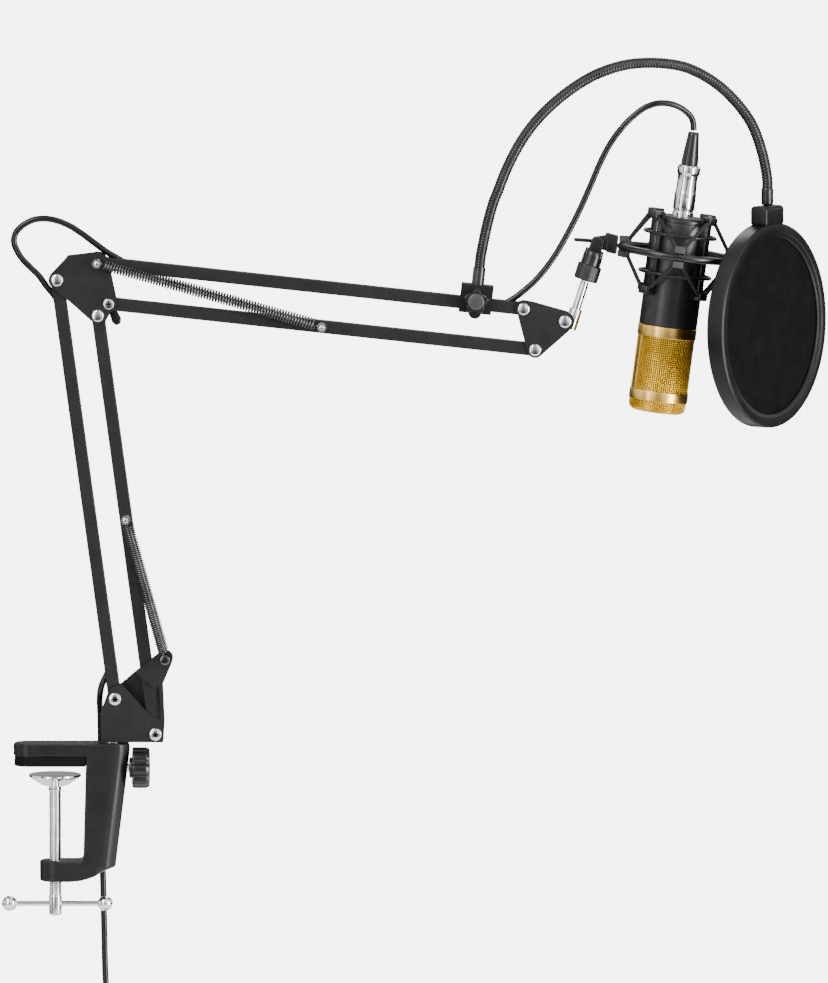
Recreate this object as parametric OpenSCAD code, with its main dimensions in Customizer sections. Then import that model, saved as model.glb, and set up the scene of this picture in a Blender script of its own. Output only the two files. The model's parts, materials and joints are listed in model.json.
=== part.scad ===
// Desk-clamp microphone stand: spring-balanced scissor arm, shock mount with a
// side-address microphone hung upside down, and a pop filter on a gooseneck.
// Origin: underside of the upper jaw pad, on the clamp screw's axis. +Z is up, the
// arm works in the XZ plane and the boom points along +X.

/* [Clamp] */
// Width of the clamp casting
clamp_w = 26; // [22:1:30]
// Gap between jaw pad and pressure disc
desk_gap = 7; // [2:1:20]
// Outer diameter of the clamp screw
screw_d = 10; // [8:1:12]
// Diameter of the pressure disc
disc_d = 41; // [34:1:42]
// Diameter of the swivel post
post_d = 12; // [10:1:14]

/* [Arm] */
// Side of the square arm tubes
bar = 10; // [9:0.5:10]
// Wall of the arm tubes
bar_wall = 1; // [0.8:0.1:1.2]
// Thickness of the folded sheet brackets
sheet = 1.5; // [1:0.1:2]
// Diameter of the pivot bolts
bolt_d = 4; // [3:0.5:4]
// Outer diameter of the balance springs
spring_d = 8; // [7:0.5:8]

/* [Pop filter] */
// Outside diameter of the filter
filter_d = 159; // [120:1:165]
// Thickness of the filter rim
filter_t = 15; // [10:1:16]
// Radial width of the filter rim
rim_w = 11; // [8:1:14]
// Gooseneck diameter
neck_d = 8.5; // [7:0.5:9]

/* [Shock mount and microphone] */
// Mean radius of the outer ring
ring_r = 44; // [42:1:46]
// Diameter of the ring's rod
ring_rod = 6; // [5:0.5:7]
// Microphone diameter
mic_d = 45.2; // [44:0.2:46]
// Microphone length
mic_len = 153; // [145:1:160]

/* [Cable] */
// Cable diameter
cable_d = 5; // [4.5:0.1:5.4]
// Mean radius of the stored coil's turns
coil_r = 28.5; // [26:0.5:30]

/* [Hidden] */
$fn = 48;

// Pivots, as [x, z] in the arm's plane
base_rear = [47, 52.5];
base_front = [78.5, 24.8];
base_spring = [86.2, 83.9];
lower_reach = [-43.9, 326.7];
elbow_rear = base_rear + lower_reach;
elbow_front = base_front + lower_reach;
boom_high = [34, 392.5];
boom_low = [43, 360.7];
boom_reach = [330.6, -35.8];
tip_high = boom_high + boom_reach;
tip_low = boom_low + boom_reach;
tip_yoke = [396.8, 347];
boom_anchor = [208.2, 342.8];
lower_anchor = [55.9, 193.0];
bar_len = norm(boom_reach);
lower_len = norm(lower_reach);

// Sideways stations, from the arm's middle plane
play = 0.3;
plate_in = bar / 2 + play;
plate_out = plate_in + sheet;
spring_y = plate_out + spring_d / 2 + 0.7;
bolt_end = spring_y + 3.5;
fit = 0.05;
open_fit = 0.3;

// Clamp
jaw_top = 17.9;
pad_t = 8;
throat_top = 24.6;
throat_low = 22.1;
lower_jaw_top = -74.3;
lower_jaw_low = -90.4;
screw_low = -118;
tommy_z = -108.6;
tommy_mid = 1.5;
tommy_half = 37.2;
post_x = 44;
bracket_z = jaw_top + 0.7;
knob_z = -2;

// Microphone and its mount
mic_foot = [467.8, 276.6];
mic_lean = 7.5;
ring_z = 124;
stud_foot = [402.7, 347.7];
stud_lean = 17.54;
knuckle_t = 63.1;
stud_dir = [sin(stud_lean), cos(stud_lean)];
knuckle = stud_foot + knuckle_t * stud_dir;

// Pop filter
pop_x = 293.5 * bar_len / boom_reach[0];
knob_rise = 2.5;
filter_c = [553.5, 343.8];
filter_turn = 57.4;

// Gooseneck centre line, [x, z]
neck_low = [
    [330.5, 388.6], [331.4, 397], [333.5, 408], [337.1, 424.6], [341.6, 440.3], [343.1, 444]
];
neck_high = [
    [343.1, 444], [344.6, 447.7], [352.8, 468], [364.9, 490], [379.4, 508], [398.8, 525],
    [420.5, 538.3], [444.7, 546], [469, 547.2], [490.7, 543.6], [512.4, 532.2],
    [529.4, 516.5], [541.4, 499.6], [548.7, 480.3], [552.4, 464], [553.5, 455], [553.5, 450.6]
];

// Cable centre lines, [x, y, z]
upper_route = [
    [496.4, 0, 495], [495, 0, 504], [488, -2.5, 511.5], [478.6, -6, 515.8], [468.9, -8.5, 516.6],
    [459, -9, 513.6], [449.6, -9, 506.8], [440, -9, 497], [431.4, -7.5, 485], [424, -5, 470.6],
    [416.9, -2.5, 453.6], [408.5, -0.6, 434.3], [398.8, 0, 415], [389, 0, 398], [377, 0, 382],
    [366, 0, 371.5], [356, 0, 364], [346, 0, 359.4], [330, 0, 360.4], [200, 0, 374.5],
    [90, 0, 386.4], [66, 0, 389.4], [57, 0, 391.8], [49.5, 0, 396.1]
];
middle_route = [
    [49.5, 0, 396.1], [42, 0, 400.4], [32, 0, 407.7], [22.5, 0, 414.8], [12.8, 0, 421],
    [3, 0, 425], [-6.5, 0, 426.6], [-16, 0, 425.4], [-24, 0, 421], [-29, 0, 415.5],
    [-30.5, 0, 409], [-28.5, 0, 402.6], [-24.6, 0, 396], [-18, 0, 389], [-11, 0, 382],
    [-5, 0, 373.6], [1.2, 0, 366], [5.6, 0, 356], [8, 0, 343], [22, 0, 238.6],
    [41, 0, 97.2], [42.5, 0, 84], [41.6, 0, 74], [38, 0, 66]
];
lower_route = [
    [38, 0, 66], [37.1, 0, 64], [36, 1, 60.4], [35.1, 3.9, 55.2], [34.7, 8.6, 48.5], [34.9, 12.4, 41],
    [35.1, 14.9, 33], [35.2, 16.6, 23], [35.3, 17.8, 8],
    [35.4, 18.5, -10], [35.6, 19, -40], [36.4, 18.5, -80], [37.4, 17.6, -125],
    [38.2, 17, -165], [39, 16.5, -187]
];
coil_mid = [39 + coil_r, 16, -218];
coil_pack = 9.5;
plug_top = [33.5, 20, -253];

function at(p, y = 0) = [p[0], y, p[1]];
function unit(v) = v / norm(v);
function slope(p, q) = atan2(q[1] - p[1], q[0] - p[0]);
function tangent(c, i) = unit(c[min(i + 1, len(c) - 1)] - c[max(i - 1, 0)]);
function side(t) = unit(cross(t, [0, 1, 0]));
function ring_at(c, i, r, n) =
    let (t = tangent(c, i), u = side(t), v = cross(t, u))
    [for (k = [0 : n - 1]) c[i] + r * (cos(360 * k / n) * u + sin(360 * k / n) * v)];

// A round tube swept along a list of points
module swept(route, r, n = 10) {
    rings = len(route);
    points = [for (i = [0 : rings - 1]) each ring_at(route, i, r, n)];
    walls = [
        for (i = [0 : rings - 2], k = [0 : n - 1])
        [i * n + k, i * n + (k + 1) % n, (i + 1) * n + (k + 1) % n, (i + 1) * n + k]
    ];
    first = [for (k = [n - 1 : -1 : 0]) k];
    last = [for (k = [0 : n - 1]) (rings - 1) * n + k];
    polyhedron(points, concat([first], walls, [last]), convexity = 8);
}

// An outline in the arm's plane, thick from y0 to y1
module flat(y0, y1) {
    translate([0, y1, 0]) rotate([90, 0, 0]) linear_extrude(y1 - y0) children();
}

module disc(p, r) {
    translate(p) circle(r);
}

module rod_y(p, r, y0, y1) {
    translate([p[0], y1, p[1]]) rotate([90, 0, 0]) cylinder(r = r, h = y1 - y0);
}

// Local +X from p towards q
module along(p, q) {
    translate(at(p)) rotate([0, -slope(p, q), 0]) children();
}

module rod(a, b, r) {
    d = b - a;
    translate(a) rotate([0, acos(d[2] / norm(d)), atan2(d[1], d[0])]) cylinder(r = r, h = norm(d));
}

module donut(major, minor) {
    rotate_extrude() translate([major, 0]) circle(minor);
}

// A pivot bolt along Y with a domed head in front and a nut behind
module pivot_bolt(p, y0, y1, head_r = 4.8) {
    rod_y(p, bolt_d / 2, y0, y1);
    translate([p[0], y0, p[1]]) rotate([90, 0, 0]) difference() {
        union() {
            cylinder(r = head_r, h = 1.2);
            translate([0, 0, 1.2]) cylinder(r1 = head_r, r2 = head_r * 0.6, h = 1.2);
        }
        translate([0, 0, 1.1]) cylinder(r = 1.4, h = 2, $fn = 6);
    }
    translate([p[0], y1 + 2.6, p[1]]) rotate([90, 0, 0]) cylinder(r = 4, h = 2.6, $fn = 6);
}

// A square tube between two pivots, with bolt holes and cable slots
module arm_tube(p, q, length, far_fit, slots, mid_hole, slot_side) {
    along(p, q) difference() {
        union() {
            translate([0, -bar / 2, -bar / 2]) cube([length, bar, bar]);
            for (x = [0, length]) rod_y([x, 0], bar / 2, -bar / 2, bar / 2);
        }
        inner = bar / 2 - bar_wall;
        translate([-bar, -inner, -inner]) cube([length + 2 * bar, 2 * inner, 2 * inner]);
        rod_y([0, 0], bolt_d / 2 + fit, -bar, bar);
        rod_y([length, 0], bolt_d / 2 + far_fit, -bar, bar);
        if (mid_hole > 0) rod_y([mid_hole, 0], bolt_d / 2 + fit, -bar, bar);
        for (s = slots) {
            translate([s[0], -3.2, slot_side > 0 ? 0 : -bar]) cube([s[1] - s[0], 6.4, bar]);
        }
    }
}

// A coil spring's envelope between two pins: a hollow barrel with an eye at each end
module spring_pair(p, q) {
    reach = norm(q - p);
    for (y = [-spring_y, spring_y]) {
        translate([0, y, 0]) along(p, q) {
            for (x = [0, reach]) translate([x, 0, 0]) rotate([90, 0, 0]) donut(3, 0.7);
            for (x = [3.2, reach - 5.2]) translate([x, 0, 0]) rotate([0, 90, 0]) cylinder(r = 0.7, h = 2);
            translate([4.9, 0, 0]) rotate([0, 90, 0]) difference() {
                cylinder(r = spring_d / 2, h = reach - 9.8);
                translate([0, 0, 1]) cylinder(r = spring_d / 2 - 1.2, h = reach - 11.8);
            }
        }
    }
}

// The anchor of a spring pair: one long bolt through a tube, or a screw on each side
module spring_anchor(p, from_y) {
    for (s = [-1, 1]) {
        rod_y(p, bolt_d / 2, min(s * from_y, s * bolt_end), max(s * from_y, s * bolt_end));
        rod_y(p, 4.2, s > 0 ? bolt_end : -bolt_end - 2, s > 0 ? bolt_end + 2 : -bolt_end);
    }
}

module clamp_frame() {
    spine_right = 58.4;
    color([0.24, 0.24, 0.26]) difference() {
        union() {
            flat(-clamp_w / 2, clamp_w / 2) polygon([
                [-22, pad_t], [-22, jaw_top], [spine_right - 3, jaw_top], [spine_right, jaw_top - 3],
                [47.6, -77.5], [46.8, -79.3], [42, -81.4], [37.7, -83.3], [32, -85.8], [26, -87.9],
                [20, -89.6], [14.4, lower_jaw_low], [0, lower_jaw_low],
                [0, lower_jaw_top], [throat_low - 4.6, lower_jaw_top],
                [throat_low - 1.7, lower_jaw_top + 1], [throat_low - 0.4, lower_jaw_top + 2.9],
                [throat_low, lower_jaw_top + 6], [throat_top, pad_t]
            ]);
            translate([-20, 0, pad_t]) cylinder(r = clamp_w / 2 - 0.8, h = jaw_top - pad_t);
            translate([0, 0, lower_jaw_low]) cylinder(r = 12, h = lower_jaw_top - lower_jaw_low);
        }
        translate([0, 0, -100]) cylinder(r = screw_d / 2 + 0.1, h = 40);
        translate([post_x, 0, -20]) cylinder(r = post_d / 2 + 1.5, h = 60);
        translate([45, 0, knob_z]) rotate([0, 90, 0]) cylinder(r = 3.05, h = 20);
    }
}

module jaw_pad() {
    color([0.05, 0.05, 0.05]) difference() {
        union() {
            translate([-19.5, 0, 0]) cylinder(r = clamp_w / 2 - 1, h = pad_t);
            translate([-19.5, 1 - clamp_w / 2, 0]) {
                cube([19.5 + throat_top - 0.6, clamp_w - 2, pad_t]);
            }
        }
        for (y = [-8.6, -4.4, 3.2, 7.4]) translate([-40, y, -1]) cube([70, 1.2, 1.8]);
    }
}

module swivel_bush() {
    color([0.62, 0.5, 0.3]) translate([post_x, 0, -20]) difference() {
        cylinder(r = post_d / 2 + 1.5, h = jaw_top + 20.4);
        translate([0, 0, 2]) cylinder(r = post_d / 2 + fit, h = 60);
        translate([0, 0, 20 + knob_z]) rotate([0, 90, 0]) cylinder(r = 3.05, h = 20);
    }
}

module pressure_disc() {
    top = -desk_gap;
    color([0.8, 0.8, 0.82]) rotate_extrude() polygon([
        [0, top], [disc_d / 2, top], [disc_d / 2, top - 2], [disc_d / 2 - 3, top - 3.4],
        [9, top - 9], [4.1, top - 9], [4.1, top - 3], [0, top - 3]
    ]);
}

module clamp_screw() {
    top = -desk_gap;
    color([0.75, 0.75, 0.78]) difference() {
        union() {
            translate([0, 0, screw_low]) cylinder(r = screw_d / 2, h = top - 10 - screw_low);
            translate([0, 0, top - 10]) cylinder(r = 4.02, h = 6.8);
        }
        translate([-20, 0, tommy_z]) rotate([0, 90, 0]) cylinder(r = 2.15, h = 40);
    }
}

module tommy_bar() {
    color([0.78, 0.78, 0.8]) {
        translate([tommy_mid - tommy_half, 0, tommy_z]) {
            rotate([0, 90, 0]) cylinder(r = 2.08, h = 2 * tommy_half);
        }
        for (s = [-1, 1]) {
            translate([tommy_mid + s * tommy_half, 0, tommy_z]) sphere(r = 6);
        }
    }
}

module lock_knob() {
    lobes = 8;
    color([0.04, 0.04, 0.045]) translate([57.6, 0, knob_z]) rotate([0, 90, 0]) difference() {
        union() {
            cylinder(r = 8, h = 3);
            translate([0, 0, 2.4]) cylinder(r = 16, h = 14);
        }
        for (i = [0 : lobes - 1]) {
            rotate(i * 360 / lobes) translate([18.6, 0, 2]) cylinder(r = 4.6, h = 20);
        }
        translate([0, 0, -1]) cylinder(r = 2.9, h = 11);
    }
}

module lock_stud() {
    color([0.75, 0.75, 0.78]) translate([post_x + post_d / 2 + 0.2, 0, knob_z]) {
        rotate([0, 90, 0]) cylinder(r = 2.9, h = 17.2);
    }
}

module cheek_outline() {
    polygon([
        [37, bracket_z], [35.7, 41.2], [40.5, 54.5], [44, 61.2], [51.8, 63.8], [64, 74.1],
        [82.5, 88.6], [91.6, 86], [91.3, 80.5], [84.2, 64], [85.5, 34], [84.5, bracket_z]
    ]);
    disc(base_rear, 6.6);
    disc(base_front, 6.2);
    disc(base_spring, 5.9);
}

module base_bracket() {
    color([0.2, 0.2, 0.22]) difference() {
        union() {
            flat(-plate_out, -plate_in) difference() {
                cheek_outline();
                polygon([[51.8, 65], [60, 76], [77.6, 60.6], [81.4, 62.4], [82.6, 36], [75.4, 38.6]]);
            }
            flat(plate_in, plate_out) cheek_outline();
            translate([35.9, -plate_out, bracket_z]) cube([sheet, 2 * plate_out, 22]);
            translate([35.9, -plate_out, bracket_z]) cube([30, 2 * plate_out, sheet]);
        }
        for (p = [base_rear, base_front, base_spring]) rod_y(p, bolt_d / 2 + 0.02, -30, 30);
        translate([post_x, 0, bracket_z - 1]) cylinder(r = 4.02, h = 8);
    }
}

module swivel_post() {
    color([0.75, 0.75, 0.78]) {
        translate([post_x, 0, -17.9]) cylinder(r = post_d / 2, h = bracket_z + 17.9);
        translate([post_x, 0, bracket_z - 1]) cylinder(r = 4, h = sheet + 2);
        translate([post_x, 0, bracket_z + sheet]) cylinder(r = 5.2, h = 1.8);
    }
}

module base_bolts() {
    color([0.82, 0.82, 0.84]) for (p = [base_rear, base_front]) pivot_bolt(p, -plate_out, plate_out);
}

module base_spring_screws() {
    color([0.3, 0.3, 0.32]) spring_anchor(base_spring, plate_in);
}

module lower_rear_bar() {
    color([0.2, 0.2, 0.21]) arm_tube(
        base_rear, elbow_rear, lower_len, fit, [[10, 27], [lower_len - 28, lower_len - 6]], 0, 1
    );
}

module lower_front_bar() {
    mid = norm(lower_anchor - base_front);
    color([0.2, 0.2, 0.21]) arm_tube(base_front, elbow_front, lower_len, open_fit, [], mid, 1);
}

module lower_spring_bolt() {
    color([0.75, 0.75, 0.78]) {
        rod_y(lower_pin(), bolt_d / 2, -bar / 2 - 1, bar / 2 + 1);
        spring_anchor(lower_pin(), bar / 2);
    }
}

// The spring pins sit exactly on the tubes' centre lines
function lower_pin() = base_front + norm(lower_anchor - base_front) * unit(lower_reach);
function boom_pin() = boom_low + norm(boom_anchor - boom_low) * unit(boom_reach);

module lower_springs() {
    color([0.35, 0.35, 0.37]) spring_pair(base_spring, lower_pin());
}

module elbow_outline() {
    polygon([
        [11.2, 397.8], [34.7, 400.6], [41.9, 393.5], [44.7, 384.6], [49.2, 363], [39.9, 345.6],
        [31, 346.2], [14.1, 361.3], [-0.5, 373.2], [-2.4, 383], [8.3, 394.2]
    ]);
    disc(boom_high, 8.2);
    disc(boom_low, 6.4);
    disc(elbow_front, 6.4);
    disc(elbow_rear, 6.6);
}

module elbow_plate(y0, y1) {
    color([0.2, 0.2, 0.22]) difference() {
        union() {
            flat(y0, y1) elbow_outline();
            rod_y(boom_high, 5, y0, y1);
        }
        for (p = [boom_high, boom_low, elbow_front, elbow_rear]) {
            rod_y(p, bolt_d / 2 + 0.02, -30, 30);
        }
    }
}

module elbow_plate_front() elbow_plate(-plate_out, -plate_in);
module elbow_plate_rear() elbow_plate(plate_in, plate_out);

module elbow_bolts() {
    color([0.82, 0.82, 0.84]) {
        pivot_bolt(elbow_rear, -plate_out, plate_out);
        pivot_bolt(elbow_front, -plate_out, plate_out, 4);
        difference() {
            union() {
                rod_y(boom_low, bolt_d / 2, -plate_out, plate_out + 4);
                rod_y(boom_low, 4.2, -plate_out - 2, -plate_out);
            }
            rod_y(boom_low, 1.2, -plate_out - 3, -plate_out - 1);
        }
    }
}

module elbow_spring_bolt() {
    color([0.8, 0.8, 0.82]) {
        rod_y(boom_high, bolt_d / 2, -plate_out, plate_out);
        spring_anchor(boom_high, plate_in);
    }
}

module elbow_wing_nut() {
    color([0.04, 0.04, 0.045]) difference() {
        union() {
            rod_y(boom_low, 5, plate_out + 0.3, plate_out + 7.4);
            flat(plate_out + 3.2, plate_out + 6.8) {
                translate(boom_low) rotate(-68) {
                    translate([-17, -3.4]) square([34, 6.8]);
                    for (s = [-1, 1]) translate([s * 17, 0]) circle(3.4);
                }
            }
        }
        rod_y(boom_low, bolt_d / 2 + fit, 0, 20);
    }
}

module boom_top_bar() {
    color([0.2, 0.2, 0.21]) arm_tube(
        boom_high, tip_high, bar_len, fit, [[8, 32], [bar_len - 28, bar_len - 5.5]], 0, 1
    );
}

module boom_bottom_bar() {
    mid = norm(boom_anchor - boom_low);
    color([0.2, 0.2, 0.21]) arm_tube(boom_low, tip_low, bar_len, open_fit, [], mid, 1);
}

module boom_spring_bolt() {
    color([0.75, 0.75, 0.78]) {
        rod_y(boom_pin(), bolt_d / 2, -bar / 2 - 1, bar / 2 + 1);
        spring_anchor(boom_pin(), bar / 2);
    }
}

module boom_springs() {
    color([0.35, 0.35, 0.37]) spring_pair(boom_high, boom_pin());
}

module tip_outline() {
    polygon([
        [366, 362.8], [371.8, 361.8], [398.5, 354.2], [403.9, 345], [399.5, 339.4],
        [378, 320.4], [366.9, 325.5], [359.6, 354]
    ]);
    disc(tip_high, 6.2);
    disc(tip_low, 6.2);
    disc(tip_yoke, 7.3);
}

module tip_plate(y0, y1) {
    color([0.2, 0.2, 0.22]) difference() {
        union() {
            flat(y0, y1) tip_outline();
            rod_y(tip_high, 5, y0, y1);
        }
        for (p = [tip_high, tip_low, tip_yoke]) rod_y(p, bolt_d / 2 + 0.02, -30, 30);
    }
}

module tip_plate_front() tip_plate(-plate_out, -plate_in);
module tip_plate_rear() tip_plate(plate_in, plate_out);

module tip_bolts() {
    color([0.82, 0.82, 0.84]) for (p = [tip_high, tip_low]) pivot_bolt(p, -plate_out, plate_out, 4.2);
}

module yoke_bolt() {
    color([0.85, 0.85, 0.87]) pivot_bolt(tip_yoke, -plate_out, plate_out, 5);
}

module stud_frame() {
    translate(at(stud_foot)) rotate([0, stud_lean, 0]) children();
}

module mic_yoke() {
    color([0.8, 0.8, 0.82]) difference() {
        union() {
            rod_y(tip_yoke, 6.2, -5, 5);
            stud_frame() translate([0, 0, -7]) cylinder(r = 5, h = 16);
        }
        rod_y(tip_yoke, bolt_d / 2 + fit, -10, 10);
        stud_frame() translate([0, 0, 0.5]) cylinder(r = 3.52, h = 20);
    }
}

module mount_stud() {
    color([0.85, 0.85, 0.87]) stud_frame() translate([0, 0, 0.5]) cylinder(r = 3.5, h = 49.5);
}

module mount_socket() {
    color([0.05, 0.05, 0.055]) stud_frame() difference() {
        union() {
            translate([0, 0, 32.3]) cylinder(r = 9.4, h = 12.9);
            translate([0, 0, 45.2]) cylinder(r = 7.8, h = 10.8);
            for (s = [-1, 1]) {
                rod_y([0, knuckle_t], 4.9, s > 0 ? 2.7 : -6, s > 0 ? 6 : -2.7);
                translate([-4.9, s > 0 ? 2.7 : -6, 54]) cube([9.8, 3.3, knuckle_t - 54]);
            }
        }
        translate([0, 0, 20]) cylinder(r = 3.5 + fit, h = 31);
        rod_y([0, knuckle_t], 2.02, -20, 20);
    }
}

module knuckle_bolt() {
    color([0.8, 0.8, 0.82]) {
        rod_y(knuckle, 2, -6, 11);
        rod_y(knuckle, 3.6, -8.2, -6);
    }
}

module tilt_lever() {
    tip = knuckle + [-17, 5];
    color([0.06, 0.06, 0.065]) difference() {
        union() {
            rod_y(knuckle, 4.2, 6.4, 12);
            rod(at(knuckle, 9.2), at(tip, 9.2), 1.6);
            rod(at(tip + [-1.6, -4], 9.2), at(tip + [1.6, 4], 9.2), 1.8);
        }
        rod_y(knuckle, 2 + fit, 0, 20);
    }
}

// Local +Z along the microphone from its lower end, +X to the right
module mic_frame() {
    translate(at(mic_foot)) rotate([0, mic_lean, 0]) children();
}

module shock_ring() {
    color([0.07, 0.07, 0.075]) difference() {
        union() {
            mic_frame() translate([0, 0, ring_z]) donut(ring_r, ring_rod / 2);
            flat(-2.4, 2.4) polygon([
                knuckle + [-1, 4.6], knuckle + [9, 6.6], knuckle + [9, -6.5], knuckle + [1, -4.6]
            ]);
            rod_y(knuckle, 4.7, -2.4, 2.4);
            flat(-5, 5) polygon([[428.3, 416], [438.6, 413.6], [436.6, 398.8], [428.3, 400.6]]);
        }
        rod_y(knuckle, 2 + fit, -20, 20);
    }
}

module ring_clips() {
    color([0.38, 0.38, 0.39]) mic_frame() {
        for (a = [0, 90, 180, 270], s = [-1, 1]) {
            rotate(a) translate([ring_r - 3.4, 0, ring_z + s * 5.6]) {
                translate([0, 0, -2.5]) difference() {
                    translate([-3.4, -4, 0]) cube([6.4, 8, 5]);
                    translate([-1, 0, s > 0 ? 1.4 : 0.2]) rotate([90, 0, 0]) {
                        translate([0, 1.2, -6]) cylinder(r = 1.6, h = 12);
                    }
                }
            }
        }
    }
}

jaw_angles = [40, 140, 220, 320];
jaw_low = 91;
jaw_high = 156;

module cage_jaws() {
    inner = mic_d / 2 + 0.1;
    color([0.07, 0.07, 0.075]) mic_frame() for (a = jaw_angles) {
        rotate(a) {
            intersection() {
                translate([0, 0, jaw_low]) difference() {
                    cylinder(r = inner + 3.4, h = jaw_high - jaw_low);
                    translate([0, 0, -1]) cylinder(r = inner, h = 80);
                }
                translate([0, -5, 0]) cube([40, 10, 200]);
            }
            for (z = [jaw_low, jaw_high - 3]) {
                translate([inner + 2, -5, z]) cube([6.4, 10, 3]);
                translate([inner + 7, -5, z == jaw_low ? z : z - 2]) cube([1.6, 10, 5]);
            }
        }
    }
}

module cage_rings() {
    color([0.09, 0.09, 0.095]) mic_frame() {
        for (z = [jaw_low + 17, jaw_high - 17]) translate([0, 0, z]) donut(mic_d / 2 + 4.9, 1.3);
    }
}

// Envelope of the two elastic loops between the cage's hooks and the ring's clips
module elastic_cords() {
    color([0.03, 0.03, 0.03]) mic_frame() for (z = [ring_z - 14, ring_z + 14]) {
        translate([0, 0, z]) donut(ring_r - 9, 1.4);
    }
}

dome_h = 9;
band_low = 9;
mesh_low = 17;
mesh_high = 58.7;
body_low = 67.2;

module mic_body() {
    r = mic_d / 2;
    color([0.03, 0.03, 0.035]) mic_frame() rotate_extrude() polygon([
        [9.2, mic_len], [9.2, mic_len - 12], [r - 3, mic_len - 12], [r - 3, body_low],
        [r, body_low], [r, mic_len - 3], [r - 3, mic_len]
    ]);
}

module mic_bands() {
    r = mic_d / 2;
    color([0.83, 0.62, 0.3]) mic_frame() for (z = [band_low, mesh_high]) {
        translate([0, 0, z]) difference() {
            cylinder(r = r + 0.3, h = z == band_low ? mesh_low - band_low : body_low - mesh_high);
            translate([0, 0, -1]) cylinder(r = r - 2, h = 20);
        }
    }
}

module mic_grille() {
    r = mic_d / 2;
    color([0.86, 0.55, 0.22]) mic_frame() {
        translate([0, 0, mesh_low]) difference() {
            union() {
                cylinder(r = r - 0.5, h = mesh_high - mesh_low);
                for (s = [-1, 1]) {
                    translate([s > 0 ? r - 2.2 : -r - 0.2, -2.5, 0]) cube([2.4, 5, mesh_high - mesh_low]);
                }
            }
            translate([0, 0, -1]) cylinder(r = r - 2, h = 60);
        }
    }
}

module mic_end_mesh() {
    r = mic_d / 2 - 0.6;
    color([0.86, 0.55, 0.22]) mic_frame() rotate_extrude() difference() {
        union() {
            translate([0, 0]) square([r - dome_h, dome_h]);
            intersection() {
                translate([r - dome_h, dome_h]) circle(dome_h);
                square([r, dome_h]);
            }
        }
        translate([0, 1.5]) square([r - dome_h, 20]);
        translate([r - dome_h, dome_h]) circle(dome_h - 1.5);
    }
}

module mic_capsule() {
    color([0.7, 0.62, 0.4]) mic_frame() {
        translate([0, 4, 40]) rotate([90, 0, 0]) cylinder(r = 15, h = 8);
        translate([-5, -3, 13.2]) cube([10, 6, 13]);
        translate([0, 0, 9.2]) cylinder(r = 18, h = 4);
        translate([-12, -1, 70]) cube([24, 2, 60]);
    }
}

module mic_plug_shell() {
    color([0.7, 0.7, 0.72]) mic_frame() {
        translate([0, 0, mic_len - 10]) difference() {
            union() {
                cylinder(r = 8.4, h = 50);
                translate([0, 0, 44]) cylinder(r = 8.9, h = 5);
            }
            translate([0, 0, -1]) cylinder(r = 7, h = 12);
        }
    }
}

module mic_plug_boot() {
    color([0.04, 0.04, 0.04]) mic_frame() {
        translate([0, 0, mic_len + 40]) difference() {
            cylinder(r1 = 6.6, r2 = 4.6, h = 26, $fn = 40);
            translate([0, 0, -1]) cylinder(r = 2.6, h = 40);
        }
    }
}

// Local +X along the boom's top tube from its elbow pivot, +Z square to it
module boom_frame() {
    along(boom_high, tip_high) children();
}

module pop_clamp() {
    gap = bar / 2 + 0.15;
    color([0.05, 0.05, 0.055]) boom_frame() difference() {
        union() {
            translate([pop_x - 12.5, -9.6, -7.2]) cube([25, 18.4, 22.2]);
            translate([pop_x, -9.6, -6.4]) rotate([-90, 0, 0]) cylinder(r = 5, h = 18.4);
            translate([pop_x, 0, 15]) cylinder(r = 4.85, h = 13);
        }
        translate([pop_x - 20, -gap, -gap]) cube([40, 2 * gap, 2 * gap]);
        translate([pop_x, -20, knob_rise]) rotate([-90, 0, 0]) cylinder(r = 2.55, h = 18);
    }
}

module pop_knob() {
    lobes = 5;
    color([0.04, 0.04, 0.045]) boom_frame() translate([pop_x, 0, knob_rise]) rotate([90, 0, 0]) {
        union() {
            translate([0, 0, 5.3]) cylinder(r = 2.5, h = 8);
            translate([0, 0, 10]) cylinder(r = 7.4, h = 9);
            for (i = [0 : lobes - 1]) {
                rotate(90 + i * 360 / lobes) translate([6.4, 0, 10.2]) cylinder(r = 3.9, h = 7.6);
            }
        }
    }
}

module gooseneck_lower() {
    color([0.06, 0.06, 0.065]) swept([for (p = neck_low) at(p)], neck_d / 2, 12);
}

module gooseneck_upper() {
    color([0.06, 0.06, 0.065]) swept([for (p = neck_high) at(p)], neck_d / 2, 12);
}

module gooseneck_end() {
    color([0.07, 0.07, 0.075]) translate([filter_c[0], 0, 0]) {
        translate([0, 0, 437.4]) difference() {
            cylinder(r = 4.7, h = 13);
            translate([0, 0, 12]) cylinder(r = 2, h = 5);
        }
        translate([0, 0, 428]) cylinder(r = 3, h = 10);
    }
}

module filter_frame() {
    translate(at(filter_c)) rotate([0, 0, filter_turn]) children();
}

module filter_ring() {
    r = filter_d / 2;
    color([0.05, 0.05, 0.055]) filter_frame() difference() {
        union() {
            rotate([90, 0, 0]) rotate_extrude() difference() {
                union() {
                    translate([r - rim_w, -filter_t / 2 + 2]) square([rim_w, filter_t - 4]);
                    translate([r - rim_w + 2, -filter_t / 2]) square([rim_w - 4, filter_t]);
                    for (x = [r - rim_w + 2, r - 2], y = [-1, 1]) {
                        translate([x, y * (filter_t / 2 - 2)]) circle(2, $fn = 32);
                    }
                }
                for (y = [-1, 1]) translate([r - rim_w - 1, y * 3.4 - 0.5]) square([4, 1]);
            }
            translate([-13.3, -6.8, r - 3]) cube([26.6, 13.6, 16.6]);
        }
        translate([0, 0, r]) cylinder(r = 3 + fit, h = 20);
    }
}

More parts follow.
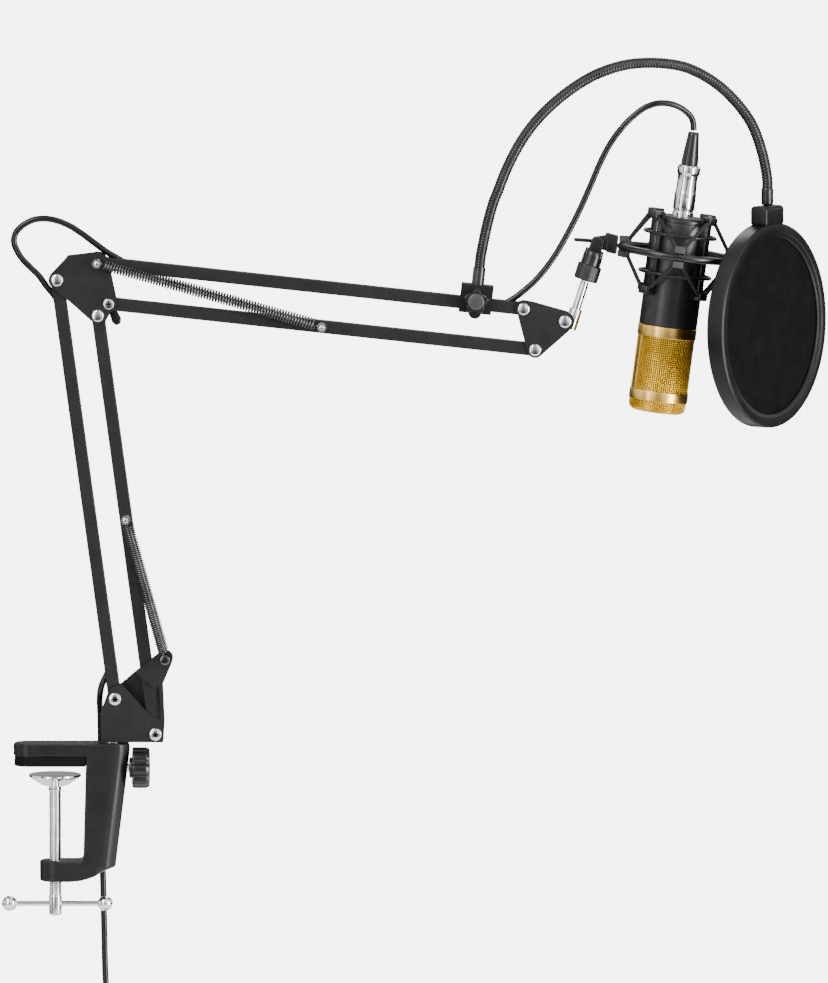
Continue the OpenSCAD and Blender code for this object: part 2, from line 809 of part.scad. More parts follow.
module filter_meshes() {
    r = filter_d / 2 - rim_w + 2.8;
    color([0.03, 0.03, 0.03]) filter_frame() for (y = [-3.4, 3.4]) {
        translate([0, y + 0.4, 0]) rotate([90, 0, 0]) cylinder(r = r, h = 0.8);
    }
}

module cable_upper() {
    color([0.03, 0.03, 0.03]) swept(upper_route, cable_d / 2, 8);
}

module cable_middle() {
    color([0.03, 0.03, 0.03]) swept(middle_route, cable_d / 2, 8);
}

module cable_lower() {
    color([0.03, 0.03, 0.03]) swept(lower_route, cable_d / 2, 8);
}

module cable_coil() {
    color([0.03, 0.03, 0.03]) translate(coil_mid) rotate([90, 0, 0]) donut(coil_r, coil_pack);
}

module cable_tie() {
    color([0.1, 0.1, 0.1]) translate(coil_mid + [-6, 0, coil_r]) rotate([0, 90, 0]) difference() {
        cylinder(r = coil_pack + 3, h = 12);
        translate([0, 0, -1]) cylinder(r = coil_pack + 1.6, h = 14);
    }
}

module cable_plug() {
    color([0.7, 0.7, 0.72]) translate(plug_top - [0, 0, 60]) {
        difference() {
            cylinder(r = 9.3, h = 42);
            translate([0, 0, -1]) cylinder(r = 7.9, h = 14);
        }
        for (a = [0, 90, 180]) {
            rotate(a) translate([3.6, 0, 2]) cylinder(r = 1.2, h = 12);
        }
    }
}

module cable_plug_boot() {
    color([0.04, 0.04, 0.04]) translate(plug_top - [0, 0, 18]) difference() {
        cylinder(r1 = 7, r2 = 4.6, h = 24, $fn = 40);
        translate([0, 0, 17]) cylinder(r = 2.9, h = 24);
    }
}

clamp_frame();
jaw_pad();
swivel_bush();
pressure_disc();
clamp_screw();
tommy_bar();
lock_knob();
lock_stud();
base_bracket();
swivel_post();
base_bolts();
base_spring_screws();
lower_rear_bar();
lower_front_bar();
lower_spring_bolt();
lower_springs();
elbow_plate_front();
elbow_plate_rear();
elbow_bolts();
elbow_spring_bolt();
elbow_wing_nut();
boom_top_bar();
boom_bottom_bar();
boom_spring_bolt();
boom_springs();
tip_plate_front();
tip_plate_rear();
tip_bolts();
yoke_bolt();
mic_yoke();
mount_stud();
mount_socket();
knuckle_bolt();
tilt_lever();
shock_ring();
ring_clips();
cage_jaws();
cage_rings();
elastic_cords();
mic_body();
mic_bands();
mic_grille();
mic_end_mesh();
mic_capsule();
mic_plug_shell();
mic_plug_boot();
pop_clamp();
pop_knob();
gooseneck_lower();
gooseneck_upper();
gooseneck_end();
filter_ring();
filter_meshes();
cable_upper();
cable_middle();
cable_lower();
cable_coil();
cable_tie();
cable_plug();
cable_plug_boot();
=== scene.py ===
"""Looks of a desk-clamp microphone stand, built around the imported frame. Lengths are in millimetres until a
piece is made, and the row frame is the CAD's: +Z up, the boom along +X, the front towards -Y."""
import json
from math import acos, atan2, cos, degrees, hypot, pi, radians, sin, sqrt, tan

import bmesh
import bpy
from mathutils import Matrix, Vector


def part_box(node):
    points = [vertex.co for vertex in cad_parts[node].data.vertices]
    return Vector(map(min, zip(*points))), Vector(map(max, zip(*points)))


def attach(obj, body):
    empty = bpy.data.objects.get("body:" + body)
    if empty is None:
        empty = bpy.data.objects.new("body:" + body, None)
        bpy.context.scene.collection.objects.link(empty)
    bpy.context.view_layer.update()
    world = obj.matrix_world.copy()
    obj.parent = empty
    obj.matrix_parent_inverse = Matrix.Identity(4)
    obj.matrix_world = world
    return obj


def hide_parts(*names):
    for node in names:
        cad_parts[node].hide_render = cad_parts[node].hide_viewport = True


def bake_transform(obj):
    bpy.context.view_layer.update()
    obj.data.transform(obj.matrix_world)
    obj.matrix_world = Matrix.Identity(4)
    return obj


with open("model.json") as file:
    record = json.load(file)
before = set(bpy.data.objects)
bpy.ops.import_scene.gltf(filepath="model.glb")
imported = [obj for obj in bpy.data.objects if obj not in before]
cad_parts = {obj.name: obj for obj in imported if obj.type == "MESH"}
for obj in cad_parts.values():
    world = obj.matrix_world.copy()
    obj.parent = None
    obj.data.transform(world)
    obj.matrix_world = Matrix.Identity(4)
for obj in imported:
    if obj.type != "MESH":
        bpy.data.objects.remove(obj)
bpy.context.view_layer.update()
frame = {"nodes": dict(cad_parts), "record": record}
MM = 0.001
TAU = 2 * pi


# ---- frames and lines
def place(x, y, z):
    return Matrix.Translation((x, y, z))


def turn(axis, angle):
    return Matrix.Rotation(radians(angle), 4, axis)


def polar(radius, angle, *height):
    return (radius * cos(angle), radius * sin(angle), *height)


def centre(node):
    """Middle of a CAD node's box, in millimetres."""
    low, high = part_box(node)
    return (low + high) / 2 / MM


def between(a, b, start, end, t):
    return a * ((end - t) / (end - start)) + b * ((t - start) / (end - start))


def smooth_line(points, step=1.0):
    """A smooth curve through the points, resampled to even steps."""
    pts = [Vector(p) for p in points]
    pts = [2 * pts[0] - pts[1]] + pts + [2 * pts[-1] - pts[-2]]
    fine = []
    for i in range(1, len(pts) - 2):
        p0, p1, p2, p3 = pts[i - 1:i + 3]
        t0, t1 = 0.0, max((p1 - p0).length, 1e-6) ** 0.5
        t2 = t1 + max((p2 - p1).length, 1e-6) ** 0.5
        t3 = t2 + max((p3 - p2).length, 1e-6) ** 0.5
        count = max(4, int((p2 - p1).length / step) * 2)
        for k in range(count):
            t = t1 + (t2 - t1) * k / count
            a1 = between(p0, p1, t0, t1, t)
            a2 = between(p1, p2, t1, t2, t)
            a3 = between(p2, p3, t2, t3, t)
            b1 = between(a1, a2, t0, t2, t)
            b2 = between(a2, a3, t1, t3, t)
            fine.append(between(b1, b2, t1, t2, t))
    fine.append(pts[-2])
    return resample(fine, step)


def nearest(line, point):
    """Index of the point of a line that lies nearest to a point."""
    return min(range(len(line)), key=lambda i: (line[i] - Vector(point)).length)


def resample(points, step):
    """The same line in even steps."""
    gaps = [(b - a).length for a, b in zip(points, points[1:])]
    total = sum(gaps)
    count = max(2, round(total / step))
    out, gone, k = [points[0].copy()], 0.0, 0
    for n in range(1, count):
        target = n * total / count
        while gone + gaps[k] < target:
            gone += gaps[k]
            k += 1
        out.append(points[k].lerp(points[k + 1], (target - gone) / gaps[k]))
    out.append(points[-1].copy())
    return out


def frames_along(path, closed=False):
    """Unit side vectors that turn as little as possible along the path."""
    last = len(path) - 1
    tangents = []
    for i in range(len(path)):
        a = path[i - 1] if i or closed else path[0]
        b = path[(i + 1) % len(path)] if i < last or closed else path[last]
        tangents.append((b - a).normalized())
    up = Vector((0, 1, 0))
    if abs(tangents[0].dot(up)) > 0.9:
        up = Vector((1, 0, 0))
    side = tangents[0].cross(up).normalized()
    frames = []
    for t in tangents:
        side = (side - t * side.dot(t)).normalized()
        frames.append((side, t.cross(side).normalized()))
    return frames


def smooth_step(t):
    t = min(max(t, 0), 1)
    return t * t * (3 - 2 * t)


def bend_round(start, corner, end, steps):
    """A curve from start to end that leaves and arrives along the lines to the corner."""
    shares = [k / steps for k in range(steps + 1)]
    return [start * (1 - t) ** 2 + corner * 2 * t * (1 - t) + end * t ** 2 for t in shares]


def fillet(points, radius, steps, closed=True):
    """A 2-D line with its corners rounded."""
    out, n = [], len(points)
    for i, p in enumerate(points):
        p = Vector(p[:2])
        own = points[i][2] if len(points[i]) > 2 else radius
        if (not closed and i in (0, n - 1)) or own <= 0:
            out.append(p)
            continue
        a, b = Vector(points[i - 1][:2]) - p, Vector(points[(i + 1) % n][:2]) - p
        la, lb = a.length, b.length
        a.normalize()
        b.normalize()
        half = acos(max(-1, min(1, a.dot(b)))) / 2
        if half > pi / 2 - 0.03 or half < 0.03:
            out.append(p)
            continue
        cut = min(own / tan(half), la * 0.48, lb * 0.48)
        out += bend_round(p + a * cut, p, p + b * cut, steps)
    return out


def mirrored(half, radius, steps):
    """The lower half of an outline and its mirror image in y > 0, with the corners rounded."""
    return fillet(half + [(x, -y) for x, y in reversed(half)], radius, steps)


def add_object(name, data):
    made = bpy.data.objects.new(name, data)
    bpy.context.scene.collection.objects.link(made)
    return made


# ---- mesh building
class Form:
    """Vertices and faces gathered in millimetres before they become one piece."""

    def __init__(self):
        self.verts, self.faces = [], []

    def grid(self, rows, cols, point, at=None, caps=(True, True), loop=False):
        """Rows of points, each row a closed ring; loop also joins the last row to the first."""
        base = len(self.verts)
        for i in range(rows):
            for j in range(cols):
                p = Vector(point(i, j))
                self.verts.append(at @ p if at else p)
        for i in range(rows if loop else rows - 1):
            i2 = (i + 1) % rows
            for j in range(cols):
                k = (j + 1) % cols
                self.faces.append((base + i * cols + j, base + i * cols + k,
                                   base + i2 * cols + k, base + i2 * cols + j))
        if caps[0] and not loop:
            self.faces.append(tuple(base + j for j in reversed(range(cols))))
        if caps[1] and not loop:
            self.faces.append(tuple(base + (rows - 1) * cols + j for j in range(cols)))

    def tube(self, path, radius, sides, closed=False, wave=None):
        """A round tube along a path; wave(i, angle) scales its radius."""
        frames = frames_along(path, closed)

        def point(i, j):
            a = TAU * j / sides
            r = radius * (wave(i, a) if wave else 1)
            s, u = frames[i]
            return path[i] + (s * cos(a) + u * sin(a)) * r
        self.grid(len(path), sides, point, loop=closed)
        return self

    def lathe(self, profile, at, sides, shape=None, caps=(True, True)):
        """(radius, height) points turned about local Z; shape(angle, radius) changes the radius."""
        def point(i, j):
            a = TAU * j / sides
            r = max(profile[i][0], 0.001)
            return polar(shape(a, r) if shape else r, a, profile[i][1])
        self.grid(len(profile), sides, point, at=at, caps=caps)

    def turned(self, profile, edge, steps, at, sides, shape=None):
        """A turned profile with its corners rounded."""
        self.lathe(fillet(profile, edge, steps, False), at, sides, shape)

    def ring(self, profile, at, sides):
        """A closed profile turned about local Z."""
        def point(i, j):
            return polar(profile[j][0], TAU * i / sides, profile[j][1])
        self.grid(sides, len(profile), point, at=at, loop=True)

    def slab(self, outline, low, high, at, edge, steps=2):
        """A closed outline in local XY, thick from low to high, with rounded edges."""
        n = len(outline)
        pts = [Vector(p[:2]) for p in outline]
        if sum(pts[i - 1].cross(pts[i]) for i in range(n)) < 0:
            pts.reverse()
        inward = []
        for i in range(n):
            d1 = (pts[i] - pts[i - 1]).normalized()
            d2 = (pts[(i + 1) % n] - pts[i]).normalized()
            m = Vector((-(d1.y + d2.y), d1.x + d2.x))
            m = m.normalized() if m.length > 1e-6 else Vector((-d1.y, d1.x))
            inward.append(m / max(0.5, m.dot(Vector((-d1.y, d1.x)))))
        rows = []
        for k in range(steps + 1):
            a = pi / 2 * k / steps
            rows.append((edge * (1 - sin(a)), low + edge * (1 - cos(a))))
        rows += [(inset, high - (z - low)) for inset, z in reversed(rows)]

        def point(i, j):
            inset, z = rows[i]
            p = pts[j] + inward[j] * inset
            return p.x, p.y, z
        self.grid(len(rows), n, point, at=at)

    def make(self, name, finish, slot, sharp=38):
        mesh = bpy.data.meshes.new(name)
        mesh.from_pydata([v * MM for v in self.verts], [], self.faces)
        bm = bmesh.new()
        bm.from_mesh(mesh)
        bmesh.ops.remove_doubles(bm, verts=bm.verts, dist=0.000002)
        bmesh.ops.dissolve_degenerate(bm, edges=bm.edges, dist=0.0000005)
        bmesh.ops.recalc_face_normals(bm, faces=bm.faces)
        bm.to_mesh(mesh)
        bm.free()
        mesh.shade_smooth()
        mesh.set_sharp_from_angle(angle=radians(sharp))
        mesh.materials.append(finish)
        made = add_object(name, mesh)
        return made


# ---- materials
def add_node(tree, kind, inputs, **settings):
    """A shader node; each of its inputs is a constant or the output that feeds it."""
    node = tree.nodes.new("ShaderNode" + kind)
    for name, value in settings.items():
        setattr(node, name, value)
    for key, value in inputs.items():
        if isinstance(value, bpy.types.NodeSocket):
            tree.links.new(value, node.inputs[key])
        else:
            node.inputs[key].default_value = value
    return node


class Paint:
    """A finish made of shader nodes."""

    def __init__(self, name):
        self.mat = bpy.data.materials.new(name)
        self.mat.use_nodes = True
        self.tree = self.mat.node_tree
        self.shader = self.tree.nodes["Principled BSDF"]
        self.coords = self.add("TexCoord", {}, "Object")

    def add(self, kind, inputs, output, **settings):
        return add_node(self.tree, kind, inputs, **settings).outputs[output]

    def drive(self, socket, value):
        self.tree.links.new(value, self.shader.inputs[socket])

    def noise(self, scale, detail):
        return self.add("TexNoise", {"Scale": scale, "Detail": detail, "Vector": self.coords}, "Fac")

    def remap(self, value, low, high, start=0.3, end=0.7):
        ends = {"From Min": start, "From Max": end, "To Min": low, "To Max": high}
        return self.add("MapRange", {**ends, "Value": value}, "Result")

    def bump(self, height, strength, distance):
        inputs = {"Strength": strength, "Distance": distance, "Height": height}
        self.drive("Normal", self.add("Bump", inputs, "Normal"))


def colour(value):
    """A base colour; a single number is a grey."""
    return (*value, 1) if isinstance(value, tuple) else (value, value, value, 1)


def finish(name, dark, light, rough, metal=0.0, grain=(1400, 0.25, 8e-5), mottle=90, shine=0.5):
    """dark and light are the two colours it varies between and rough the range of its roughness; grain is the
    scale, strength and depth of its surface."""
    paint = Paint(name)
    tone = paint.remap(paint.noise(mottle, 5), 0, 1, 0.32, 0.68)
    colours = {0: tone, 6: colour(dark), 7: colour(light)}
    paint.drive("Base Color", paint.add("Mix", colours, 2, data_type="RGBA"))
    paint.drive("Roughness", paint.remap(paint.noise(mottle * 0.55 + 7, 4), *rough))
    paint.shader.inputs["Metallic"].default_value = metal
    paint.shader.inputs["Specular IOR Level"].default_value = shine
    if grain:
        paint.bump(paint.noise(grain[0], 2), *grain[1:])
    return paint


def woven(name, dark, light, rough, pitch, depth, shine):
    paint = finish(name, dark, light, rough, grain=None, shine=shine)
    inputs = {"Scale": 1 / pitch / 2.0, "Vector": paint.coords}
    a, b, c = (paint.add("TexWave", inputs, "Fac", bands_direction=axis) for axis in "XYZ")
    strands = paint.add("Math", {0: a, 1: b}, 0, operation="MAXIMUM")
    paint.bump(paint.add("Math", {0: strands, 1: c}, 0, operation="MULTIPLY"), 0.6, depth)
    return paint


PAINTS = {
    "cast_grey": finish("powder_coat_grey", 0.0075, 0.0095, (0.3, 0.38), grain=(1500, 0.35, 9e-5),
                        shine=0.3),
    "arm_black": finish("powder_coat_black", 0.01, 0.013, (0.34, 0.44), grain=(1900, 0.3, 7e-5),
                        shine=0.26),
    "bright_steel": finish("chrome", 0.86, 0.92, (0.05, 0.11), 1.0, grain=(260, 0.05, 6e-5)),
    "screw_steel": finish("zinc", 0.74, 0.86, (0.12, 0.2), 1.0, grain=(700, 0.1, 5e-5)),
    "bronze": finish("sintered_bronze", (0.09, 0.065, 0.04), (0.14, 0.1, 0.06), (0.3, 0.45), 1.0),
    "spring_steel": finish("blued_spring_wire", 0.07, 0.13, (0.16, 0.26), 1.0, grain=None),
    "knob_black": finish("gloss_plastic", 0.006, 0.009, (0.2, 0.3), grain=(900, 0.12, 6e-5)),
    "pad_rubber": finish("rubber", 0.001, 0.002, (0.5, 0.65), grain=(1100, 0.5, 0.0001), shine=0.12),
    "mount_black": finish("moulded_nylon", 0.004, 0.007, (0.24, 0.36), grain=(1700, 0.35, 9e-5)),
    "clip_grey": finish("grey_nylon", 0.028, 0.038, (0.42, 0.55), grain=(1500, 0.3, 8e-5)),
    "elastic": woven("elastic_cord", 0.009, 0.016, (0.6, 0.8), 0.0009, 0.0002, 0.3),
    "mic_black": finish("satin_lacquer", 0.007, 0.01, (0.3, 0.38), grain=(2300, 0.3, 6e-5)),
    "gold": finish("polished_gold", (0.84, 0.49, 0.10), (0.94, 0.58, 0.16), (0.26, 0.34), 1.0,
                   grain=(900, 0.06, 5e-5)),
    "gold_mesh": finish("gold_wire", (0.66, 0.37, 0.015), (0.86, 0.53, 0.045), (0.26, 0.38), 1.0, grain=None),
    "capsule": finish("capsule_brass", (0.5, 0.4, 0.2), (0.62, 0.5, 0.28), (0.3, 0.4), 1.0),
    "nickel": finish("nickel", (0.76, 0.75, 0.73), (0.86, 0.85, 0.83), (0.09, 0.16), 1.0,
                     grain=(400, 0.06, 5e-5)),
    "boot_rubber": finish("soft_rubber", 0.004, 0.006, (0.2, 0.3), grain=(1300, 0.15, 5e-5)),
    "neck_black": finish("black_oxide", 0.02, 0.035, (0.2, 0.3), 0.7, grain=None),
    "filter_black": finish("satin_plastic", 0.004, 0.006, (0.32, 0.42), grain=(1600, 0.25, 7e-5),
                           shine=0.24),
    "filter_cloth": woven("knit_cloth", 0.003, 0.005, (0.85, 0.95), 0.0012, 0.00025, 0.05),
    "cable_black": finish("cable_jacket", 0.003, 0.005, (0.2, 0.28), grain=(1200, 0.15, 5e-5), shine=0.4),
}
# The inner screens behind the gold weave are real parts; their solid dark brown is painted shade of the
# hollow inside the grille.
SCREEN_WITH_PAINTED_SHADE = finish("inner_screen_painted_shade", (0.10, 0.05, 0.012), (0.16, 0.085, 0.02), (0.5, 0.7), 0.6,
                      grain=(1500, 0.6, 0.0002))
MAT = {slot: paint.mat for slot, paint in PAINTS.items()}


def flat_faces(obj):
    """Shade broad flat faces flat, and only the rounded edges between them round."""
    shade = obj.modifiers.new("shade", "WEIGHTED_NORMAL")
    shade.keep_sharp = True
    shade.weight = 90


def piece(form, name, slot, body, *nodes, finish_as=None, sharp=38):
    """Makes the piece, puts it on its body when it has a single one (a piece given several bodies keeps its
    place, baked into its mesh) and hides the CAD nodes that it stands for.
    """
    made = form.make(name, finish_as or MAT[slot], slot, sharp)
    if isinstance(body, str):
        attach(made, body)
    else:
        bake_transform(made)
    if nodes:
        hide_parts(*nodes)
    return made


# ---- camera
VIEW_CENTRE = Vector((0.2797, 0.0, 0.2141))
VIEW_HEIGHT = 0.7638
VIEW_DISTANCE = 8.0
ELEVATION = radians(5.5)
SENSOR = 24.0

camera_data = bpy.data.cameras.new("camera")
camera_data.sensor_fit = "VERTICAL"
camera_data.sensor_height = SENSOR
camera_data.lens = SENSOR * VIEW_DISTANCE / VIEW_HEIGHT
camera = add_object("camera", camera_data)
camera.location = VIEW_CENTRE + VIEW_DISTANCE * Vector((0, -cos(ELEVATION), sin(ELEVATION)))
camera.rotation_euler = (pi / 2 - ELEVATION, 0, 0)
bpy.context.scene.camera = camera

# ---- cable
CABLE_D = 5.0
UPPER = [
    (496.4, 0, 495), (495, 0, 504), (488, -2.5, 511.5), (478.6, -6, 515.8), (468.9, -8.5, 516.6),
    (459, -9, 513.6), (449.6, -9, 506.8), (440, -9, 497), (431.4, -7.5, 485), (424, -5, 470.6),
    (416.9, -2.5, 453.6), (408.5, -0.6, 434.3), (398.8, 0, 415), (389, 0, 398), (377, 0, 382),
    (366, 0, 371.5), (356, 0, 364), (346, 0, 359.4), (330, 0, 360.4), (200, 0, 374.5),
    (90, 0, 386.4), (66, 0, 389.4), (57, 0, 391.8),
]
MIDDLE = [
    (49.5, 0, 396.1), (42, 0, 400.4), (32, 0, 407.7), (22.5, 0, 414.8), (12.8, 0, 421),
    (3, 0, 425), (-6.5, 0, 426.6), (-16, 0, 425.4), (-24, 0, 421), (-29, 0, 415.5),
    (-30.5, 0, 409), (-28.5, 0, 402.6), (-24.6, 0, 396), (-18, 0, 389), (-11, 0, 382),
    (-5, 0, 373.6), (1.2, 0, 366), (5.6, 0, 356), (8, 0, 343), (22, 0, 238.6),
    (41, 0, 97.2), (42.5, 0, 84), (41.6, 0, 74),
]
LOWER = [
    (38, 0, 66), (37.1, 0, 64), (36, 1, 60.4), (35.1, 3.9, 55.2), (34.7, 8.6, 48.5),
    (34.9, 12.4, 41), (35.1, 14.9, 33), (35.2, 16.6, 23), (35.3, 17.8, 8), (35.4, 18.5, -10),
    (35.6, 19, -40), (36.4, 18.5, -80), (37.4, 17.6, -125), (38.2, 17, -165), (39, 16.5, -187),
    (36.6, 15.2, -201),
]
COIL_R = 28.5
COIL_MID = Vector((39 + COIL_R, 16, -218))
PLUG = centre("cable_plug")
PLUG_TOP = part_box("cable_plug_boot")[1].z / MM
ROW = CABLE_D * sqrt(3) / 2
COIL_SLOTS = [(row * ROW, y) for row, y in (
    (1.5, -2.5), (0.5, -5), (-0.5, -2.5), (-1.5, -5), (-1.5, 0), (-1.5, 5), (-0.5, 2.5), (0.5, 0), (0.5, 5),
    (1.5, 2.5), (1.5, 7.5))]
COIL_STEPS = 60
SHIFT_SHARE = 0.14


def coil_points():
    """Turns about Y from the leftmost point, going down first; each moves to its next slot under the tie."""
    points = []
    turns = len(COIL_SLOTS) - 1
    for k in range(turns * COIL_STEPS + 1):
        t = k / COIL_STEPS
        n = round(t + 0.25)
        ease = smooth_step((t + 0.25 - n) / SHIFT_SHARE + 0.5)
        a, b = COIL_SLOTS[max(n - 1, 0)], COIL_SLOTS[min(n, turns)]
        r = COIL_R + a[0] + (b[0] - a[0]) * ease
        angle = pi + TAU * t
        x, z = polar(r, angle)
        points.append(COIL_MID + Vector((x, a[1] + (b[1] - a[1]) * ease, z)))
    return points


# where a cord bends, if that isn't from its first point to its last
BENDS = {"elbow_cable_b": ((-16, 0, 404), (-2, 0, 398))}


def cord_pieces():
    lead_out = [(32.6, 22.4, -229), (PLUG.x - 0.4, 20.9, -240), (PLUG.x, PLUG.y, PLUG_TOP),
                (PLUG.x, PLUG.y, PLUG_TOP - 16)]
    line = smooth_line(UPPER + MIDDLE + LOWER + coil_points() + lead_out, 1.5)
    cuts = [
        ("mic_lead_a", (496.4, 0, 495), ("cradle", "shock_ring")),
        ("mic_lead_b", (468.9, -8.5, 516.6), ("shock_ring", "socket")),
        ("mic_lead_c", (431.4, -7.5, 485), ("socket", "yoke")),
        ("mic_lead_d", (408.5, -0.6, 434.3), ("yoke", "boom_tip")),
        ("mic_lead_e", (389, 0, 398), ("boom_tip", "boom_top")),
        ("boom_cable", (356, 0, 364), "boom_top"),
        ("elbow_cable_a", (49.5, 0, 396.1), ("boom_top", "elbow")),
        ("elbow_cable_b", (-6.5, 0, 426.6), ("elbow", "lower_rear")),
        ("rear_bar_cable", (-5, 0, 373.6), "lower_rear"),
        ("base_cable_a", (38, 0, 66), ("lower_rear", "swivel_base")),
        ("base_cable_b", (35.1, 14.9, 33), ("swivel_base", "clamp")),
        ("hanging_cable", (35.4, 18.5, -10), "clamp"),
    ]
    replaced = [["cable_upper"]] * 6 + [["cable_middle"]] * 3 + [["cable_lower"]] * 2
    replaced.append(["cable_lower", "cable_coil"])
    index = [nearest(line, start) for _, start, _ in cuts] + [len(line) - 1]
    made = []
    for k, (name, _, body) in enumerate(cuts):
        path = line[index[k]:index[k + 1] + 1]
        if not isinstance(body, str):
            body = (*body, *BENDS.get(name, (path[0], path[-1])))
        cord = piece(Form().tube(path, CABLE_D / 2, 14), name, "cable_black", body, *replaced[k])
        made.append((cord, path))
    return made


CORDS = cord_pieces()

# tie, plug and boot at the cable's far end
tie = Form()
TIE_AT = place(COIL_MID.x, COIL_MID.y, COIL_MID.z + COIL_R) @ turn("Y", 90)
tie.ring(mirrored([(11.4, -6), (12.4, -6)], 0.4, 3), TIE_AT, 48)
tie.slab(mirrored([(-7, -5.6), (7, -5.6)], 0.5, 3), 11.6, 13.2, TIE_AT @ turn("Y", -90), 0.5)
tie_piece = piece(tie, "cable_tie_band", "elastic", "clamp", "cable_tie")

plug = Form()
PLUG_AT = place(PLUG.x, PLUG.y, -313)
shell = [(0, 12.6), (7.9, 12.6), (7.9, 0.5), (8.3, 0), (8.9, 0), (9.3, 0.5), (9.3, 15.4), (8.9, 15.9),
         (8.9, 17.2), (9.3, 17.8), (9.3, 26), (9.0, 27), (8.6, 28), (8.4, 33), (8.7, 34), (8.7, 40.6),
         (8.2, 42), (0, 42)]
plug.lathe(shell, PLUG_AT, 56)
for a in (0, 90, 180):
    plug.turned([(1.2, 11), (1.2, 2.2), (0.6, 1.4), (0, 1.3)], 0.3, 3,
                PLUG_AT @ turn("Z", a) @ place(3.6, 0, 0), 16)
latch = fillet([(-1.6, 9), (1.6, 9), (1.6, 9.9), (-1.6, 9.9)], 0.3, 3)
plug.slab(latch, 19, 25.5, PLUG_AT @ turn("Z", 90), 0.3)
plug_piece = piece(plug, "xlr_plug", "nickel", "clamp", "cable_plug")


BOOT_BORE = 2.55


def boot(length, low_r, high_r, at, ribs=7):
    """A tapered strain relief with grooves, its wide end at local z = 0."""
    form = Form()
    profile = [(low_r - 0.6, 0), (low_r, 0.6), (low_r, 3.4)]
    for k in range(ribs):
        z = 5 + (length - 9) * k / ribs
        r = low_r + (high_r - low_r) * z / length
        w = (length - 9) / ribs
        profile += [(r, z - 0.4), (r - 0.8, z), (r - 0.8, z + w * 0.36), (r, z + w * 0.46)]
    profile += [(high_r + 0.1, length - 3), (high_r, length - 0.6), (high_r - 0.5, length)]
    profile.append((BOOT_BORE, length))
    form.lathe(profile, at, 40)
    return form


boot_at = place(PLUG.x, PLUG.y, PLUG_TOP - 24)
boot_piece = piece(boot(24, 7, 4.6, boot_at), "plug_strain_relief", "boot_rubber", "clamp", "cable_plug_boot")

# ---- shared frames and screws
MIC = place(467.8, 0, 276.6) @ turn("Y", 7.5)
STUD = place(402.7, 0, 347.7) @ turn("Y", 17.54)
SLOPE = atan2(35.8, 330.6)
BOOM = place(34, 0, 392.5) @ turn("Y", degrees(SLOPE))
FILTER = place(553.5, 0, 343.8) @ turn("Z", 57.4)
FRONT, BACK = turn("X", 90), turn("X", -90)
PLATE = 6.8
KNUCKLE = (421.717, 407.866)
BOLT_R = 2
HEAD_SIDES = 64


def facing(p, y, side):
    """A frame on the pivot p at y, its local Z towards the front or the back."""
    return place(p[0], y, p[1]) @ side


def head(form, at, radius, height, recess="none", size=2.4, dome=0.55):
    """A screw head on the plane z = 0 with a driver recess."""
    rings = [radius * k / 26 for k in range(26, 0, -1)] + [0.02]

    def point(i, j):
        a = TAU * j / HEAD_SIDES
        r = rings[i]
        edge = min(1, (radius - r) / (radius * 0.14))
        z = height * (1 - dome) + height * dome * sqrt(max(0, 1 - (r / radius) ** 2))
        z -= 0.3 * height * (1 - edge) ** 2
        x, y = polar(r, a)
        cross = r < size and min(abs(x), abs(y)) < size * 0.2 + (size - r) * 0.12
        star = r < size * (0.8 + 0.2 * cos(6 * a))
        inside = {"cross": cross, "star": star, "none": False}[recess]
        return x, y, z - (height * 0.5 if inside else 0)
    form.grid(len(rings), HEAD_SIDES, point, at=at)
    form.lathe([(radius, 0), (radius, height * 0.45)], at, HEAD_SIDES)


def nut(form, at, across, height):
    """A hexagon nut on the plane z = 0 with chamfered corners and the bolt's end in it."""
    corner = across / 2 / cos(TAU / 12)
    form.lathe([(corner * 0.93, 0), (corner, 0.4), (corner, height - 0.4), (corner * 0.92, height),
                (BOLT_R, height)], at, 72, lambda a, r: min(r, across / 2 / cos((a % (TAU / 6)) - TAU / 12)))
    form.lathe([(BOLT_R * 0.98, height - 0.5), (BOLT_R * 0.98, height + 0.6), (BOLT_R * 0.7, height + 0.9),
                (0, height + 0.9)], at, 24)


def bolt(form, p, radius, height, recess="none", size=2.4):
    """A pivot bolt along Y: its head in front of the plates and a nut behind them."""
    form.lathe([(BOLT_R, 0), (BOLT_R, 2 * PLATE)], facing(p, PLATE, FRONT), 20)
    head(form, facing(p, -PLATE, FRONT), radius, height, recess, size)
    nut(form, facing(p, PLATE, BACK), 7, 2.4)


# ---- desk clamp
CLAMP_HALF, NOSE_R, LOWER_R, SPINE_R, PAD_T = 13, 12.2, 12, 12.9, 8


def clamp_point(x, z, y):
    """Move an outline point in at a distance y from the middle: round noses and a rounded spine."""
    if x < -20:
        return -20 + (x + 20) * sqrt(max(0, 1 - (y / NOSE_R) ** 2))
    if z < -70 and x < 0:
        return x * sqrt(max(0, 1 - (y / LOWER_R) ** 2))
    over = max(0, abs(y) - (CLAMP_HALF - SPINE_R))
    return x - (SPINE_R - sqrt(max(0, SPINE_R ** 2 - over ** 2))) * smooth_step((x - 30) / 16)


